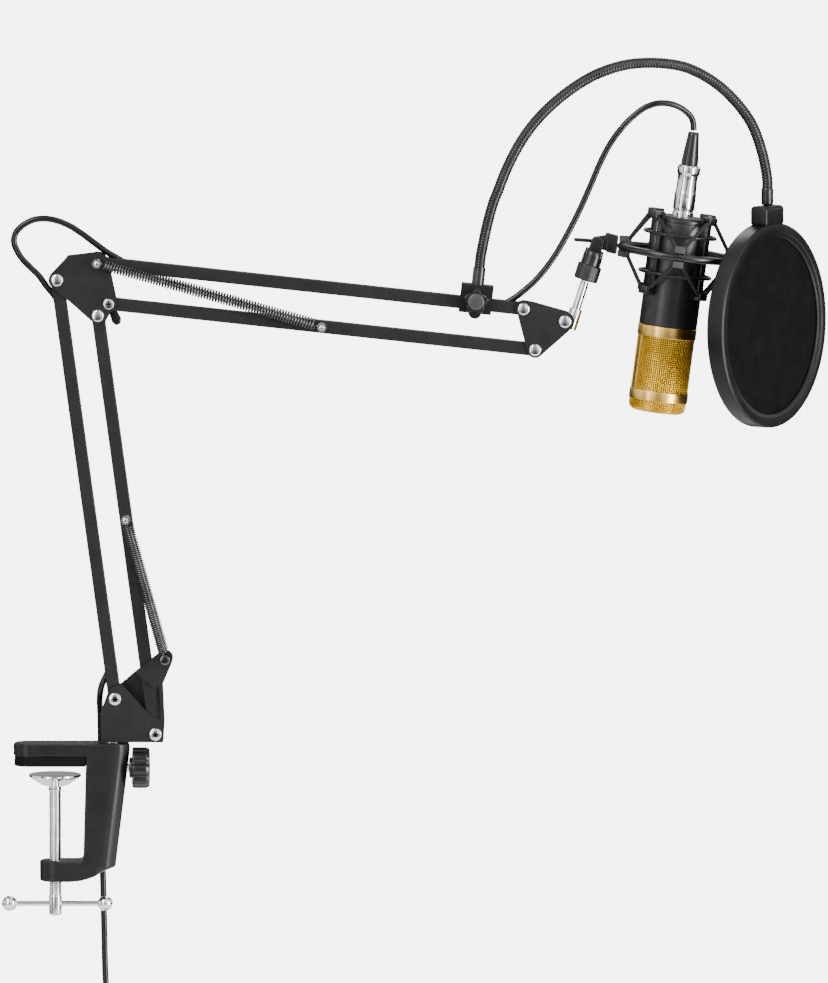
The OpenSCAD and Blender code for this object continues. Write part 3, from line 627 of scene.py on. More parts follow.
outline = [(-20, PAD_T, 0), (-32.2, PAD_T, 1.2), (-32.2, 17.9, 1.8), (-20, 17.9, 0), (40, 17.9, 0),
           (58.4, 17.9, 2.6)]
outline += [(58.4 - 10.8 * k / 12, 12 - 87 * k / 12, 0) for k in range(13)]
outline += [(47.3, -79.2, 2), (42, -81.4, 4), (37.7, -83.3, 4), (32, -85.8, 4), (26, -87.9, 4),
            (20, -89.6, 4), (12, -90.4, 4), (0, -90.4, 0), (-12, -90.4, 1.6), (-12, -74.3, 1.4),
            (0, -74.3, 0), (22.2, -74.3, 4.6), (24.6, PAD_T, 0.8)]
outline = fillet(outline, 0, 6)
levels = [(1.3 * (1 - sin(a)), CLAMP_HALF - 1.3 * (1 - cos(a))) for a in [pi / 8 * k for k in range(5)]]
levels += [(0, 11.7 * cos(pi / 24 * k)) for k in range(1, 12)]
levels = [(inset, -y) for inset, y in levels] + [(0, 0)] + [(inset, y) for inset, y in reversed(levels)]
inward = []
for k, p in enumerate(outline):
    a, b = outline[k - 1], outline[(k + 1) % len(outline)]
    d = Vector((b[0] - a[0], b[1] - a[1])).normalized()
    inward.append((d.y, -d.x))


def clamp_skin(i, j):
    inset, y = levels[i]
    x, z = outline[j][0] + inward[j][0] * inset, outline[j][1] + inward[j][1] * inset
    return clamp_point(x, z, y), y, z


form = Form()
form.grid(len(levels), len(outline), clamp_skin)
flat_faces(piece(form, "clamp_body", "cast_grey", "clamp", "clamp_frame", sharp=50))

form = Form()
form.turned([(0, -7.4), (13, -7.4), (20.2, -7.0, 0.2), (20.5, -8.4), (17.6, -10.6, 5), (9.2, -15.9, 4),
             (5.2, -16, 0.3), (4.1, -16, 0.1), (4.1, -10, 0.1), (0, -10, 0)], 0.6, 6, None, 80)
piece(form, "pressure_foot", "bright_steel", "pressure_disc", "pressure_disc")

THREAD_R, THREAD_DEPTH, THREAD_PITCH, THREAD_LOW, THREAD_HIGH = 5, 0.75, 1.5, -102.5, -19
THREAD_ROWS, THREAD_SIDES = 334, 32


def thread_point(i, j):
    """The spindle's helical thread; it runs out over one pitch at each end."""
    z = THREAD_LOW + (THREAD_HIGH - THREAD_LOW) * i / (THREAD_ROWS - 1)
    a = TAU * j / THREAD_SIDES
    phase = (z / THREAD_PITCH - a / TAU) % 1
    run_out = min(1, (z - THREAD_LOW) / THREAD_PITCH, (THREAD_HIGH - z) / THREAD_PITCH)
    return polar(THREAD_R - THREAD_DEPTH * abs(2 * phase - 1) * run_out, a, z)


form = Form()
form.grid(THREAD_ROWS, THREAD_SIDES, thread_point)
foot = [(0, -117.9), (3.4, -117.9), (4.9, -116.6), (5, -102.4), (3.6, -101.6), (0, -101.6)]
form.turned(foot, 0.8, 4, None, 48)
neck = [(0, -19.6), (4.9, -19.4), (4.9, -17.2), (3.9, -16.3), (3.9, -10.4), (0, -10.4)]
form.turned(neck, 0.4, 3, None, 48)
piece(form, "clamp_spindle", "screw_steel", "clamp_screw", "clamp_screw")

form = Form()
BAR_AT = place(1.5, 0, -108.6) @ turn("Y", 90)
form.lathe([(2.08, -36), (2.08, 36)], BAR_AT, 28)
ball = [(0, -6)] + [polar(6, pi * (k / 28 - 0.5)) for k in range(1, 28)] + [(0, 6)]
for side in (-1, 1):
    form.lathe(ball, BAR_AT @ place(0, 0, side * 37.2), 48)
piece(form, "tommy_handle", "bright_steel", "tommy_bar", "tommy_bar")


def scooped(a, r):
    """Eight scoops in the knob's rim."""
    return r * (1 - 0.15 * (0.5 - 0.5 * cos(8 * a)) ** 2.2) if r > 10 else r


form = Form()
form.turned([(2.9, 0.2), (8, 0.2), (8, 2.6), (15.4, 2.6), (16, 4.2), (16, 13.6), (14.6, 16.2), (9.5, 16.2),
             (8.6, 15.4), (0.01, 15.4)], 1.1, 5, place(57.6, 0, -2) @ turn("Y", 90), 160, scooped)
piece(form, "swivel_lock_knob", "knob_black", "lock_knob", "lock_knob")


# ---- bars and bolts
def paint_recess_shade(name, body, node, pivots, kind, size, depth):
    """Painted shade: a black slab on the floor of each driver recess, standing in for the shade inside it."""
    form = Form()
    share, angles = (0.24, (0, 90)) if kind == "cross" else (0.3, (0, 60, 120))
    half = size * share
    for p in pivots:
        for a in angles:
            at = facing(p, -PLATE, FRONT) @ place(0, 0, depth) @ turn("Z", a)
            form.slab(mirrored([(-size, -half), (size, -half)], half * 0.8, 3), 0, 0.12, at, 0.04, 1)
    piece(form, name, "knob_black", body, node)


BASE_REAR, BASE_FRONT, BASE_SPRING = (47, 52.5), (78.5, 24.8), (86.2, 83.9)
ELBOW_REAR, ELBOW_FRONT = (3.1, 379.2), (34.6, 351.5)
BOOM_HIGH, BOOM_LOW = (34, 392.5), (43, 360.7)
TIP_HIGH, TIP_LOW, TIP_YOKE = (364.6, 356.7), (373.6, 324.9), (396.8, 347)
BAR = 5
for name, body, p, q in (
        ("rear_upright", "lower_rear", BASE_REAR, ELBOW_REAR),
        ("front_upright", "lower_front", BASE_FRONT, ELBOW_FRONT),
        ("upper_boom", "boom_top", BOOM_HIGH, TIP_HIGH),
        ("lower_boom", "boom_bottom", BOOM_LOW, TIP_LOW)):
    form = Form()
    rise, run = q[1] - p[1], q[0] - p[0]
    arc = [polar(BAR, pi / 2 + pi * k / 14) for k in range(15)]
    outline = arc + [(hypot(run, rise) - x, -y) for x, y in arc]
    at = place(p[0], 0, p[1]) @ turn("Y", -degrees(atan2(rise, run))) @ FRONT
    form.slab(outline, -BAR, BAR, at, 0.8, 4)
    flat_faces(piece(form, name, "arm_black", body, body + "_bar"))

LOWER_PIN = centre("lower_spring_bolt").xz
BOOM_PIN = centre("boom_spring_bolt").xz

form = Form()
bolt(form, BASE_REAR, 4.9, 2.4, "star", 2.7)
bolt(form, BASE_FRONT, 4.9, 2.4, "star", 2.9)
piece(form, "base_pivot_bolts", "bright_steel", "swivel_base", "base_bolts")
# painted shade: black slabs in the base bolts' driver recesses
paint_recess_shade("base_recess_painted_shade", "swivel_base", "base_bolts", (BASE_REAR, BASE_FRONT), "star", 2.3, 2.15)

form = Form()
for side, at in ((-1, FRONT), (1, BACK)):
    base = facing(BASE_SPRING, side * 5.3, at)
    form.lathe([(BOLT_R, 0), (BOLT_R, 10)], base, 20)
    nut(form, base @ place(0, 0, 1.6), 7, 1.5)
    head(form, base @ place(0, 0, 9.7), 4.2, 1.9, "cross", 2.3)
piece(form, "base_spring_pins", "spring_steel", "swivel_base", "base_spring_screws")

for name, p, body, slot, collar in (
        ("lower_spring", LOWER_PIN, "lower_front", "screw_steel", 5),
        ("boom_spring", BOOM_PIN, "boom_bottom", "screw_steel", 5),
        ("elbow_spring", BOOM_HIGH, "elbow", "bright_steel", PLATE)):
    form = Form()
    form.lathe([(BOLT_R, -15), (BOLT_R, 15)], facing(p, 0, FRONT), 20)
    for side in (FRONT, BACK):
        base = facing(p, 0, side)
        low, high = collar + 0.2, collar + 1.6
        form.turned([(BOLT_R, low), (3.4, low), (3.4, high), (BOLT_R, high)], 0.3, 2, base, 32)
        if side is FRONT:
            nut(form, base @ place(0, 0, 14.4), 6.8, 1.8)
        else:
            head(form, base @ place(0, 0, 14.6), 4.1, 2.2, "cross", 2.3)
    piece(form, name + "_pin", slot, body, name + "_bolt")

form = Form()
bolt(form, ELBOW_REAR, 4.8, 2.3)
bolt(form, ELBOW_FRONT, 4.8, 2.2)
form.lathe([(BOLT_R, -PLATE), (BOLT_R, PLATE + 4)], facing(BOOM_LOW, 0, BACK), 20)
head(form, facing(BOOM_LOW, -PLATE, FRONT), 4.25, 2.0, "cross", 2.6, 0.35)
piece(form, "elbow_pivot_bolts", "bright_steel", "elbow", "elbow_bolts")
# painted shade: a black slab in the elbow bolt's driver recess
paint_recess_shade("elbow_recess_painted_shade", "elbow", "elbow_bolts", (BOOM_LOW,), "cross", 2.2, 1.85)

form = Form()
for p in (TIP_HIGH, TIP_LOW):
    bolt(form, p, 4.7, 2.3)
piece(form, "tip_pivot_bolts", "bright_steel", "boom_tip", "tip_bolts")
form = Form()
bolt(form, TIP_YOKE, 4.9, 2.5)
piece(form, "yoke_pivot_bolt", "bright_steel", "boom_tip", "yoke_bolt")

form = Form()
WING = place(BOOM_LOW[0], PLATE, BOOM_LOW[1]) @ turn("Y", 68) @ BACK
form.turned([(2.1, 0.4), (5.4, 0.4), (4.4, 7.2), (2.1, 7.2)], 0.6, 4, WING, 40)
for side in (-1, 1):
    wing = mirrored([(side * 3, -2.6), (side * 15, -3.9), (side * 18.8, -2)], 2.0, 5)
    form.slab(wing, 3.2, 6.7, WING, 1.3, 4)
piece(form, "wing_nut", "knob_black", "elbow_nut", "elbow_wing_nut")


# ---- springs
SPRING_Y, SPRING_R, SPRING_INSET = 11.5, 4, 5.2
HOOK_R, HOOK_NECK, HOOK_SWEEP, HOOK_STEPS = 3.1, 4.4, 250, 15


def hook(x, side, first):
    """A spring's end turned round its pin; first is the angle where it starts."""
    angles = [radians(first + HOOK_SWEEP * k / (HOOK_STEPS - 1)) for k in range(HOOK_STEPS)]
    return [(x + side * HOOK_R * cos(a), 0, -HOOK_R * sin(a)) for a in angles]


def springs(name, p, q, bodies, node, pitch, wire, cut, spans):
    """A helix with a hook at each end, in front of and behind the tubes. It is cut near its fixed end into a
    hook end and a coil, each given its own span (mm along it)."""
    p, q = Vector((p[0], 0, p[1])), Vector((q[0], 0, q[1]))
    reach = (q - p).length
    along = (q - p).normalized()
    across = Vector((0, 1, 0))
    length, r = reach - 2 * SPRING_INSET, SPRING_R - wire / 2
    turns = length / pitch
    steps = int(turns * 14)
    line = hook(0, -1, -100) + [(HOOK_NECK, 0, -0.5)]
    for k in range(steps + 1):
        t = k / steps
        a = TAU * turns * t
        ease = min(1, t * turns * 2, (1 - t) * turns * 2)
        line.append((SPRING_INSET + length * t, r * sin(a) * ease, -r * cos(a) * ease))
    line += [(reach - HOOK_NECK, 0, -0.5)] + hook(reach, 1, -150)
    split = next(k for k, point in enumerate(line) if k > HOOK_STEPS and point[0] >= cut)
    for side, tag in ((-SPRING_Y, "front"), (SPRING_Y, "rear")):
        path = [p + along * a + across * (side + b) + across.cross(along) * c for a, b, c in line]
        parts = (("hook_end", path[:split + 1], spans[0]), ("coil", path[split:], spans[1]))
        for stretch, part, span in parts:
            piece(Form().tube(part, wire / 2, 7), f"{name}_{tag}_{stretch}", "spring_steel",
                  (*bodies, p + along * span[0], p + along * span[1]), node, sharp=60)


springs("lower_spring", BASE_SPRING, LOWER_PIN, ("swivel_base", "lower_front"), "lower_springs",
        1.62, 1.25, 11.5, ((3, 24.14), (-54.88, 110.2)))
springs("boom_spring", BOOM_HIGH, BOOM_PIN, ("elbow", "boom_bottom"), "boom_springs",
        2.25, 1.35, 31.1, ((3, 40.68), (-331.8, 154.8)))

# ---- mount: stud, socket, lever, ring
form = Form()
form.turned([(0, 0.5), (3.45, 0.5), (3.45, 30), (2.9, 30.6), (2.9, 31.6), (3.5, 32.2), (3.5, 49.6),
             (0, 49.6)], 0.4, 3, STUD, 40)
piece(form, "threaded_stud", "bright_steel", "yoke", "mount_stud")

form = Form()


def knurl(a, r):
    return r * (1 - 0.022 * (0.5 + 0.5 * cos(44 * a))) if r > 9.3 else r


form.turned([(3.7, 32.6), (8.6, 32.6), (9.4, 33.4), (9.4, 44.2), (8.8, 45.2), (7.8, 45.2), (7.7, 53),
             (7.2, 56), (3.7, 56)], 0.5, 4, STUD, 176, knurl)
top = [polar(4.9, pi * k / 16) for k in range(17)]
ear = [(-4.9, 54), (4.9, 54)] + [(x, 63.1 + y) for x, y in top]
for low, high in ((2.7, 6), (-6, -2.7)):
    form.slab(ear, low, high, STUD @ FRONT, 0.5, 3)
form.slab(mirrored([(-7.2, -5.9), (7.2, -5.9)], 2.5, 5), 52, 57.4, STUD, 0.8, 3)
piece(form, "ring_socket", "mount_black", "socket", "mount_socket")

form = Form()
LEVER = place(KNUCKLE[0], 0, KNUCKLE[1])
form.turned([(2.1, 6.5), (4.2, 6.5), (4.2, 11.4), (3.6, 12), (2.1, 12)], 0.4, 3, LEVER @ BACK, 40)
paddle = mirrored([(-18, -2.4), (-8.5, -3.1), (-5, -1.7), (-1, -1.7)], 1.5, 5)
form.slab(paddle, -1.4, 1.4, LEVER @ place(0, 9.2, 0.6) @ turn("Y", 4), 1.1, 4)
piece(form, "lever_handle", "mount_black", "tilt_lever", "tilt_lever")

RING_Z, RING_R = 124, 44
form = Form()
form.ring([(RING_R + 3 * cos(TAU * k / 20), RING_Z + 3 * sin(TAU * k / 20)) for k in range(20)], MIC, 128)
form.slab(fillet([(KNUCKLE[0] - 3, -KNUCKLE[1] - 4.6), (KNUCKLE[0] + 9, -KNUCKLE[1] - 6.4),
                  (KNUCKLE[0] + 9, -KNUCKLE[1] + 6.4), (KNUCKLE[0] - 1, -KNUCKLE[1] + 4.7),
                  (KNUCKLE[0] - 5, -KNUCKLE[1])], 1.6, 5), -2.35, 2.35, BACK, 0.4)
form.slab(fillet([(428.3, -416), (438.4, -413.4), (436.6, -399), (428.3, -400.8)], 1.4, 4), -4.9, 4.9,
          BACK, 1.1, 3)
plate = fillet([(427.2, -412.4), (430.2, -412.4), (430.2, -404.2), (427.2, -404.2)], 0.6, 3)
for y in (-3.3, 3.3):
    form.slab(plate, y - 0.9, y + 0.9, BACK, 0.4)
piece(form, "outer_ring", "mount_black", "shock_ring", "shock_ring")

form = Form()
grip = fillet([(-6.2, -2.5), (-3.2, -2.9), (2.6, -2.4), (2.8, 2.4), (-3.2, 2.9), (-6.2, 2.5)], 0.7, 4)
tongue = mirrored([(-6.9, -1.3), (-5.4, -1.3)], 0.4, 2)
for a in (0, 90, 180, 270):
    for s in (-1, 1):
        at = MIC @ turn("Z", a) @ place(RING_R - 0.6, 0, RING_Z + s * 5.6) @ FRONT
        form.slab(grip, -4, 4, at, 0.7, 3)
        form.slab(tongue, -3.2, 3.2, at, 0.3)
piece(form, "ring_cord_clips", "clip_grey", "shock_ring", "ring_clips")

# inner cage
JAW_LOW, JAW_HIGH = 91, 156
FINGERS = (40, 140, 220, 320)
inner, outer = 22.75, 26
fan = [radians(12.5) * (k / 5 - 1) for k in range(11)]
pad = [polar(outer, t) for t in fan] + [polar(inner, -t) for t in fan]
form = Form()
for a in FINGERS:
    at = MIC @ turn("Z", a)
    form.slab(pad, JAW_LOW, JAW_HIGH, at, 0.5)
    rib = mirrored([(outer - 0.6, -2.2), (outer + 1.1, -1.6)], 0.4, 2)
    form.slab(rib, JAW_LOW + 3, JAW_HIGH - 3, at, 0.4)
    for z, s in ((JAW_LOW + 1.6, -1), (JAW_HIGH - 1.6, 1)):
        form.slab(mirrored([(outer - 1, -4.9), (31.2, -4.4)], 1.0, 4), z - 1.5, z + 1.5, at, 0.5)
        low, high = sorted((z + s * 1.2, z - s * 4.6))
        form.slab(mirrored([(29.6, -4.7), (31.3, -4.7)], 0.5, 3), low, high, at, 0.4)
piece(form, "cage_fingers", "mount_black", "cradle", "cage_jaws")

form = Form()
for z in (JAW_LOW + 17, JAW_HIGH - 17):
    circle = [(27.5 + 1.35 * cos(TAU * k / 14), z + 1.35 * sin(TAU * k / 14)) for k in range(14)]
    form.ring(circle, MIC, 96)
piece(form, "cage_hoops", "mount_black", "cradle", "cage_rings")


ELASTIC_BEND = 2.2


def elastic_loop(name, hook_z, clip_z, start_z, end_z):
    """A cord that zigzags round the mount between the cage's hooks and the ring's clips."""
    pts = []
    for k, hook in enumerate(FINGERS):
        pts += [(*polar(38.6, radians(90 * k + shift)), clip_z) for shift in (-4, 4)]
        pts += [(*polar(29.4, radians(hook + shift)), hook_z) for shift in (-9, 9)]
    pts = [Vector(p) for p in pts]
    fine = []
    for i, p in enumerate(pts):
        before, after = pts[i - 1], pts[(i + 1) % len(pts)]
        start = p + (before - p).normalized() * ELASTIC_BEND
        end = p + (after - p).normalized() * ELASTIC_BEND
        onward = after + (p - after).normalized() * ELASTIC_BEND
        fine += bend_round(start, p, end, 5)
        fine += [end.lerp(onward, k / 8) for k in range(1, 8)]
    path = [MIC @ p for p in fine]
    piece(Form().tube(path, 1.5, 12, True), name, "elastic",
          ("shock_ring", "cradle", *(MIC @ Vector((0, 0, z)) for z in (start_z, end_z))), "elastic_cords")


elastic_loop("elastic_upper", JAW_HIGH - 4.6, RING_Z + 6.4, RING_Z + 8, JAW_HIGH - 6)
elastic_loop("elastic_lower", JAW_LOW + 4.6, RING_Z - 6.4, RING_Z - 8, JAW_LOW + 6)

# ---- microphone
form = Form()
form.turned([(19, 67.3, 0), (22.2, 67.3), (22.6, 67.7), (22.6, 147.6), (22.35, 148.0), (22.35, 148.4),
             (22.6, 148.8), (22.6, 150.8), (20.6, 152.9), (10.4, 152.9), (9.3, 152.2), (9.3, 141), (0, 141)],
            0.35, 3, MIC, 96)
for a in (radians(40), radians(220)):
    head(form, MIC @ place(*polar(15.6, a, 152.7)), 1.9, 0.7, "cross", 1.2)
piece(form, "mic_shell", "mic_black", "cradle", "mic_body")

form = Form()
for low, high in ((9, 17), (58.7, 67.2)):
    form.ring(fillet([(20.8, low), (22.9, low), (22.9, high), (20.8, high)], 0.7, 4), MIC, 96)
piece(form, "gold_bands", "gold", "cradle", "mic_bands")

form = Form()
for side in (-1, 1):
    post = mirrored([(side * 20.6, -2.6), (side * 22.75, -2.5)], 0.6, 4)
    form.slab(post, 16.8, 58.9, MIC @ turn("Z", 25), 0.1, 1)
piece(form, "grille_posts", "gold", "cradle", "mic_grille")

WIRES, WIRE_R = 84, 0.36


def weave(form, rows, place_row, overrun=None):
    """Hoops, then upright wires, each over and under the others. place_row(k, side) is the radius and height
    of row k on the outer (1) or inner (-1) side; overrun is how far the uprights reach past the end rows."""
    def crossing(j, k, side):
        radius, z = place_row(k, side * (-1) ** (j + k))
        return Vector(polar(radius, TAU * j / WIRES, z))
    for k in range(rows):
        form.tube([MIC @ crossing(j, k, 1) for j in range(WIRES)], WIRE_R, 6, True)
    for j in range(WIRES):
        path = [crossing(j, k, -1) for k in range(rows)]
        if overrun:
            path = [path[0] - overrun] + path + [path[-1] + overrun]
        form.tube([MIC @ p for p in path], WIRE_R, 6)


form = Form()
ROWS = 25
ROW_STEP = 41.6 / ROWS
weave(form, ROWS, lambda k, side: (21.7 + 0.34 * side, 17.1 + ROW_STEP * (k + 0.5)),
      Vector((0, 0, ROW_STEP / 2)))
piece(form, "woven_grille", "gold_mesh", "cradle", "mic_grille", sharp=80)

form = Form()
form.ring([(20.6, 16.9), (21.0, 16.9), (21.0, 58.9), (20.6, 58.9)], MIC, 72)
# a solid sheet in painted shade behind the woven grille
piece(form, "inner_grille", "gold_mesh", "cradle", "mic_grille", finish_as=SCREEN_WITH_PAINTED_SHADE.mat)

DOME_R, DOME_H, DOME_LIFT = 22.2, 5.6, 0.35


def dome_z(rho):
    """Height of the rounded end at a radius: flat in the middle, turned up at its rim."""
    t = min(max(0, (rho - DOME_R + DOME_H) / DOME_H), 1)
    return DOME_H - (DOME_H - DOME_LIFT) * sqrt(1 - t * t)


def dome_side(k, side):
    """A row (radius, height) on the rounded side and the straight skirt above it."""
    a = min(k, 6) * radians(15)
    reach = DOME_H - DOME_LIFT + 0.2 * side
    return DOME_R - DOME_H + reach * sin(a), DOME_H - reach * cos(a) + 1.7 * max(0, k - 6)


PITCH, FLAT_R = 1.65, 16.8
form = Form()
for axis in (0, 1):
    for k in range(int(2 * FLAT_R / PITCH)):
        c = -FLAT_R + PITCH * (k + 0.75)
        span = sqrt(max(0, (FLAT_R + 0.4) ** 2 - c * c))
        steps = int(2 * span / PITCH)
        if steps < 3:
            continue
        path = []
        for m in range(steps * 2 + 1):
            s = -span + span * m / steps
            lift = 0.22 * cos(pi * (s / PITCH + k + axis))
            xy = (c, s) if axis else (s, c)
            path.append(MIC @ Vector((*xy, dome_z(hypot(*xy)) + lift)))
        form.tube(path, WIRE_R, 6)
weave(form, 9, dome_side)
piece(form, "woven_end", "gold_mesh", "cradle", "mic_end_mesh", sharp=80)

form = Form()
BACKING_R = DOME_R - 1.1
backing = [(BACKING_R * k / 24, dome_z(BACKING_R * k / 24) + 0.9) for k in range(1, 25)]
form.lathe([(0, 1.25)] + backing + [(BACKING_R, 9.2)], MIC, 72, caps=(True, False))
# a solid sheet in painted shade behind the woven end
piece(form, "inner_end_screen", "gold_mesh", "cradle", "mic_end_mesh", finish_as=SCREEN_WITH_PAINTED_SHADE.mat)

# connector in the microphone
form = Form()
form.turned([(0, 143.5), (8.3, 143.5), (8.3, 156.4), (7.7, 157), (7.7, 158.2), (8.4, 158.8), (8.4, 171),
             (8.0, 173), (7.7, 182), (7.9, 185), (8.9, 187.2), (8.9, 191.6), (8.2, 193), (0, 193)],
            0.4, 3, MIC, 64)
for k in range(10):
    form.slab(mirrored([(8.2, -0.7), (8.95, -0.5)], 0.25, 2), 187.6, 191.3, MIC @ turn("Z", 36 * k), 0.2)
form.slab(fillet([(-2.6, 0), (2.6, 0), (2.2, 8.5), (-2.2, 8.5)], 1.0, 4), 7.2, 9.0,
          MIC @ place(0, 0, 159.6) @ FRONT, 0.5, 3)
piece(form, "mic_connector", "nickel", "cradle", "mic_plug_shell")
piece(boot(26, 6.6, 4.4, MIC @ place(0, 0, 193), 0), "mic_strain_relief", "boot_rubber", "cradle",
      "mic_plug_boot")

# ---- pop filter
form = Form()
KNOB_AT = BOOM @ place(293.5 / cos(SLOPE), 0, 2.5) @ FRONT


def star(a, r):
    return r * (0.86 + 0.14 * cos(5 * (a - pi / 2))) if r > 6.8 else r


form.turned([(0, 5.4), (2.5, 5.4), (2.5, 10), (7, 10), (9.6, 10.2), (10.3, 11.2), (10.3, 16.6), (9.2, 18),
             (6.7, 18.2), (6.5, 17.6), (0, 17.6)], 0.5, 4, KNOB_AT, 120, star)
piece(form, "star_knob", "knob_black", "pop_knob", "pop_knob")
form = Form()
cap = [(6.3 * cos(a), 18 + 0.95 * sin(a)) for a in [pi / 20 * k for k in range(10)]]
form.lathe([(0, 17.4), (6.3, 17.4)] + cap + [(0, 18.95)], KNOB_AT, 56)
piece(form, "star_knob_cap", "knob_black", "pop_knob",
      finish_as=finish("smoked_cap", 0.04, 0.06, (0.3, 0.4), 0.4, shine=0.6).mat)

NECK_BREAK = (343.1, 0, 444)
NECK = [
    (330.5, 0, 388.6), (331.4, 0, 397), (333.5, 0, 408), (337.1, 0, 424.6), (341.6, 0, 440.3), NECK_BREAK,
    (344.6, 0, 447.7), (352.8, 0, 468), (364.9, 0, 490), (379.4, 0, 508), (398.8, 0, 525),
    (420.5, 0, 538.3), (444.7, 0, 546), (469, 0, 547.2), (490.7, 0, 543.6), (512.4, 0, 532.2),
    (529.4, 0, 516.5), (541.4, 0, 499.6), (548.7, 0, 480.3), (552.4, 0, 464), (553.5, 0, 455),
    (553.5, 0, 450.6),
]
RIB, RIB_STEPS = 2.2, 6
neck = smooth_line(NECK, RIB / RIB_STEPS)
split = nearest(neck, NECK_BREAK) // RIB_STEPS * RIB_STEPS


def ribbed(i, a):
    phase = (i / RIB_STEPS + a / TAU) % 1
    return 1 - 0.085 * (0.5 + 0.5 * cos(TAU * phase)) ** 2


piece(Form().tube(neck[:split + 1], 4.35, 20, wave=ribbed), "gooseneck_root_part", "neck_black",
      ("pop_clamp", "gooseneck", neck[0], neck[split]), "gooseneck_lower", sharp=70)
piece(Form().tube(neck[split:], 4.35, 20, wave=ribbed), "gooseneck_arch", "neck_black",
      ("gooseneck", "neck_end", (385, 0, 541), (553, 0, 541)), "gooseneck_upper", sharp=70)

form = Form()
form.turned([(0, 428), (3, 428), (3, 437.4), (4.3, 437.4), (4.7, 438.4), (4.7, 449), (4.3, 450.8),
             (0, 450.8)], 0.4, 3, place(553.5, 0, 0), 48)
piece(form, "gooseneck_ferrule", "neck_black", "neck_end", "gooseneck_end")

form = Form()
R, INNER, T = 79.5, 68.5, 7.5
front = [(R, 1.2 - T), (R - 1.6, -T), (R - 6.4, -T), (R - 7.2, 1.0 - T), (INNER + 1, 1.6 - T),
         (INNER, 2.6 - T), (INNER, -3.9), (INNER + 3, -3.9), (INNER + 3, -2.9), (INNER, -2.9)]
form.ring(mirrored(front, 1.0, 4), FILTER @ FRONT, 160)
form.slab(mirrored([(-14.2, -7.6), (14.2, -7.6)], 3.4, 6), R - 2.4, R + 13.6, FILTER, 3.2, 5)
piece(form, "filter_rim", "filter_black", "pop_filter", "filter_ring")

form = Form()
CLOTH_R = INNER + 2.6
for side, sag in ((-1, 1.1), (1, 0.8)):
    middle = side * 3.4
    cloth = [(CLOTH_R * k / 30, middle - side * sag * (1 - (k / 30) ** 2)) for k in range(31)]
    faces = [[(r, z + offset) for r, z in cloth] for offset in (-0.22, 0.22)]
    for profile in (*faces, [(CLOTH_R, middle - 0.22), (CLOTH_R, middle + 0.22)]):
        form.lathe(profile, FILTER @ FRONT, 96, caps=(False, False))
piece(form, "filter_cloth_screens", "filter_cloth", "pop_filter", "filter_meshes")

# ---- CAD nodes that stay
EDGES = {"jaw_pad": 0.5, "pop_clamp": 1.0, "mic_yoke": 0.7, "base_bracket": 0.35}
node_slot = {entry["node"]: entry["material_slot"] for entry in frame["record"]["subparts"]}
for name, node in frame["nodes"].items():
    if node.hide_render:
        continue
    finish_mat = MAT[node_slot[name]]
    if not node.material_slots:
        node.data.materials.append(finish_mat)
    for own in node.material_slots:
        own.material = finish_mat
    weld = node.modifiers.new("weld", "WELD")
    weld.merge_threshold = 2e-5
    bevel = node.modifiers.new("edges", "BEVEL")
    bevel.width = EDGES.get(name, 0.3) * MM
    bevel.segments = 3
    bevel.limit_method = "ANGLE"
    bevel.angle_limit = radians(32)
    bevel.harden_normals = True

# ---- floor and light
FLOOR_Z, FLOOR_R = -0.33, 1.0
FLOOR_SIDES = 96
rim = [(0.25 + x, y, FLOOR_Z) for x, y in [polar(FLOOR_R, TAU * k / FLOOR_SIDES) for k in range(FLOOR_SIDES)]]
mesh = bpy.data.meshes.new("floor")
mesh.from_pydata(rim, [], [tuple(range(FLOOR_SIDES))])
mesh.materials.append(finish("pale_floor", 0.86, 0.9, (0.6, 0.7), grain=None, mottle=2).mat)
floor = add_object("floor", mesh)

world = bpy.data.worlds.new("studio")
bpy.context.scene.world = world
world.use_nodes = True
sky = world.node_tree
room = sky.nodes["Background"]
coords = add_node(sky, "TexCoord", {})
direction = add_node(sky, "SeparateXYZ", {0: coords.outputs["Generated"]})


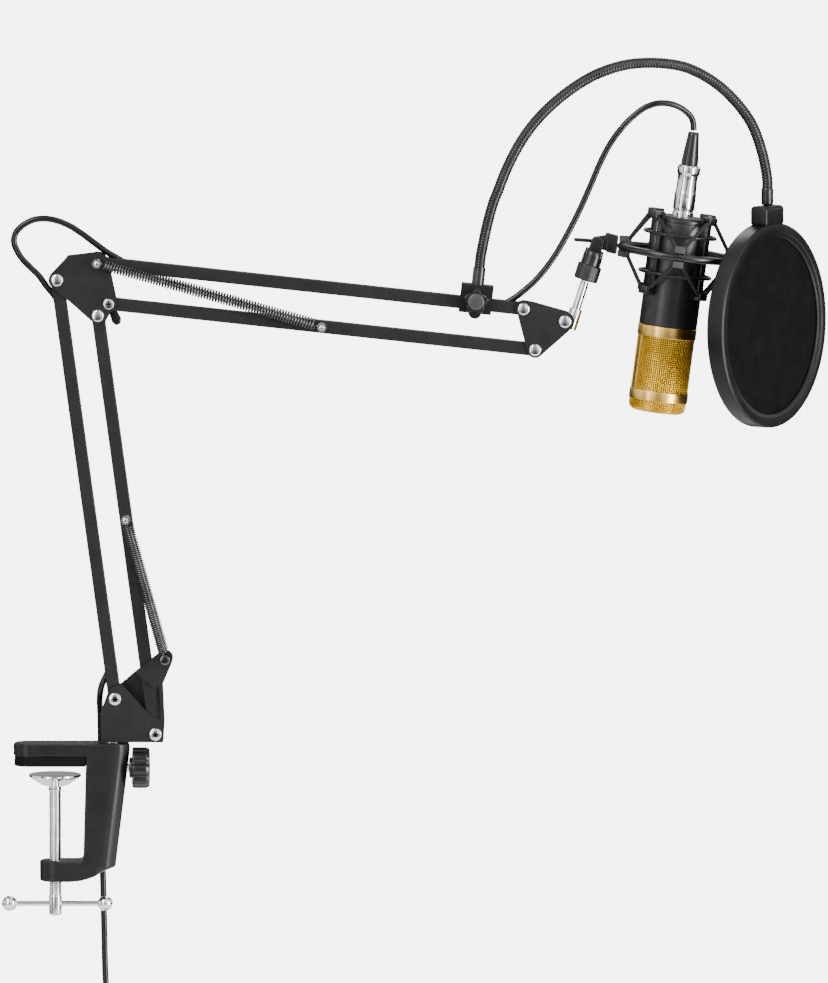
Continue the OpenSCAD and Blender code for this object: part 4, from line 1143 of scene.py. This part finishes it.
def band(axis, stops):
    """Brightness along one axis of the direction, from -1 to 1, as (place, value) stops."""
    spread = add_node(sky, "MapRange", {"From Min": -1, "Value": direction.outputs[axis]})
    ramp = add_node(sky, "ValToRGB", {"Fac": spread.outputs["Result"]})
    marks = ramp.color_ramp.elements
    while len(marks) < len(stops):
        marks.new(0.5)
    for mark, (at, value) in zip(marks, stops):
        mark.position = (at + 1) / 2
        mark.color = (value, value, value, 1)
    return ramp.outputs["Color"]


def combine(operation, a, b):
    return add_node(sky, "VectorMath", {0: a, 1: b}, operation=operation).outputs[0]


sides = band("X", [(-0.9, 1), (-0.84, 0.05), (-0.74, 0.05), (-0.68, 1), (-0.3, 1), (-0.16, 0.22),
                   (0.16, 0.22), (0.26, 1), (0.46, 1), (0.5, 0.05), (0.64, 0.05), (0.7, 1)])
behind = band("Y", [(-1, 1), (0.12, 0.8), (0.3, 0.04), (1, 0.04)])
above = band("Z", [(-0.3, 0.15), (-0.02, 0.5), (0.1, 0.7), (0.5, 1.0)])
slot_light = band("Z", [(0.04, 0), (0.08, 0.8), (0.2, 0.8), (0.4, 0.15)])
glow = combine("MULTIPLY", combine("MULTIPLY", sides, above), combine("MAXIMUM", behind, slot_light))
sky.links.new(glow, room.inputs["Color"])
room.inputs["Strength"].default_value = 2.6
backdrop = add_node(sky, "Background", {"Color": (1, 1, 1, 1), "Strength": 6})
camera_ray = add_node(sky, "LightPath", {}).outputs["Is Camera Ray"]
pick = add_node(sky, "MixShader", {0: camera_ray, 1: room.outputs[0], 2: backdrop.outputs[0]})
sky.links.new(pick.outputs[0], sky.nodes["World Output"].inputs["Surface"])


def area_light(name, where, target, size, power):
    data = bpy.data.lights.new(name, "AREA")
    data.shape = "RECTANGLE"
    data.size, data.size_y = size
    data.energy = power
    lamp = add_object(name, data)
    lamp.location = where
    lamp.rotation_euler = (Vector(target) - Vector(where)).to_track_quat("-Z", "Y").to_euler()


area_light("key", (-0.9, -1.8, 1.9), (0.25, 0, 0.25), (1.2, 1.2), 30)
area_light("fill", (1.9, -1.5, 0.9), (0.3, 0, 0.2), (0.8, 1.6), 12)
area_light("rim", (0.6, 1.6, 1.9), (0.3, 0, 0.3), (1.6, 0.7), 22)
area_light("right_strip", (1.45, -0.8, 0.0), (0.05, 0, -0.03), (0.3, 1.3), 34)
area_light("left_strip", (-0.75, -1.35, 0.35), (0.5, 0, 0.3), (0.16, 1.2), 6)
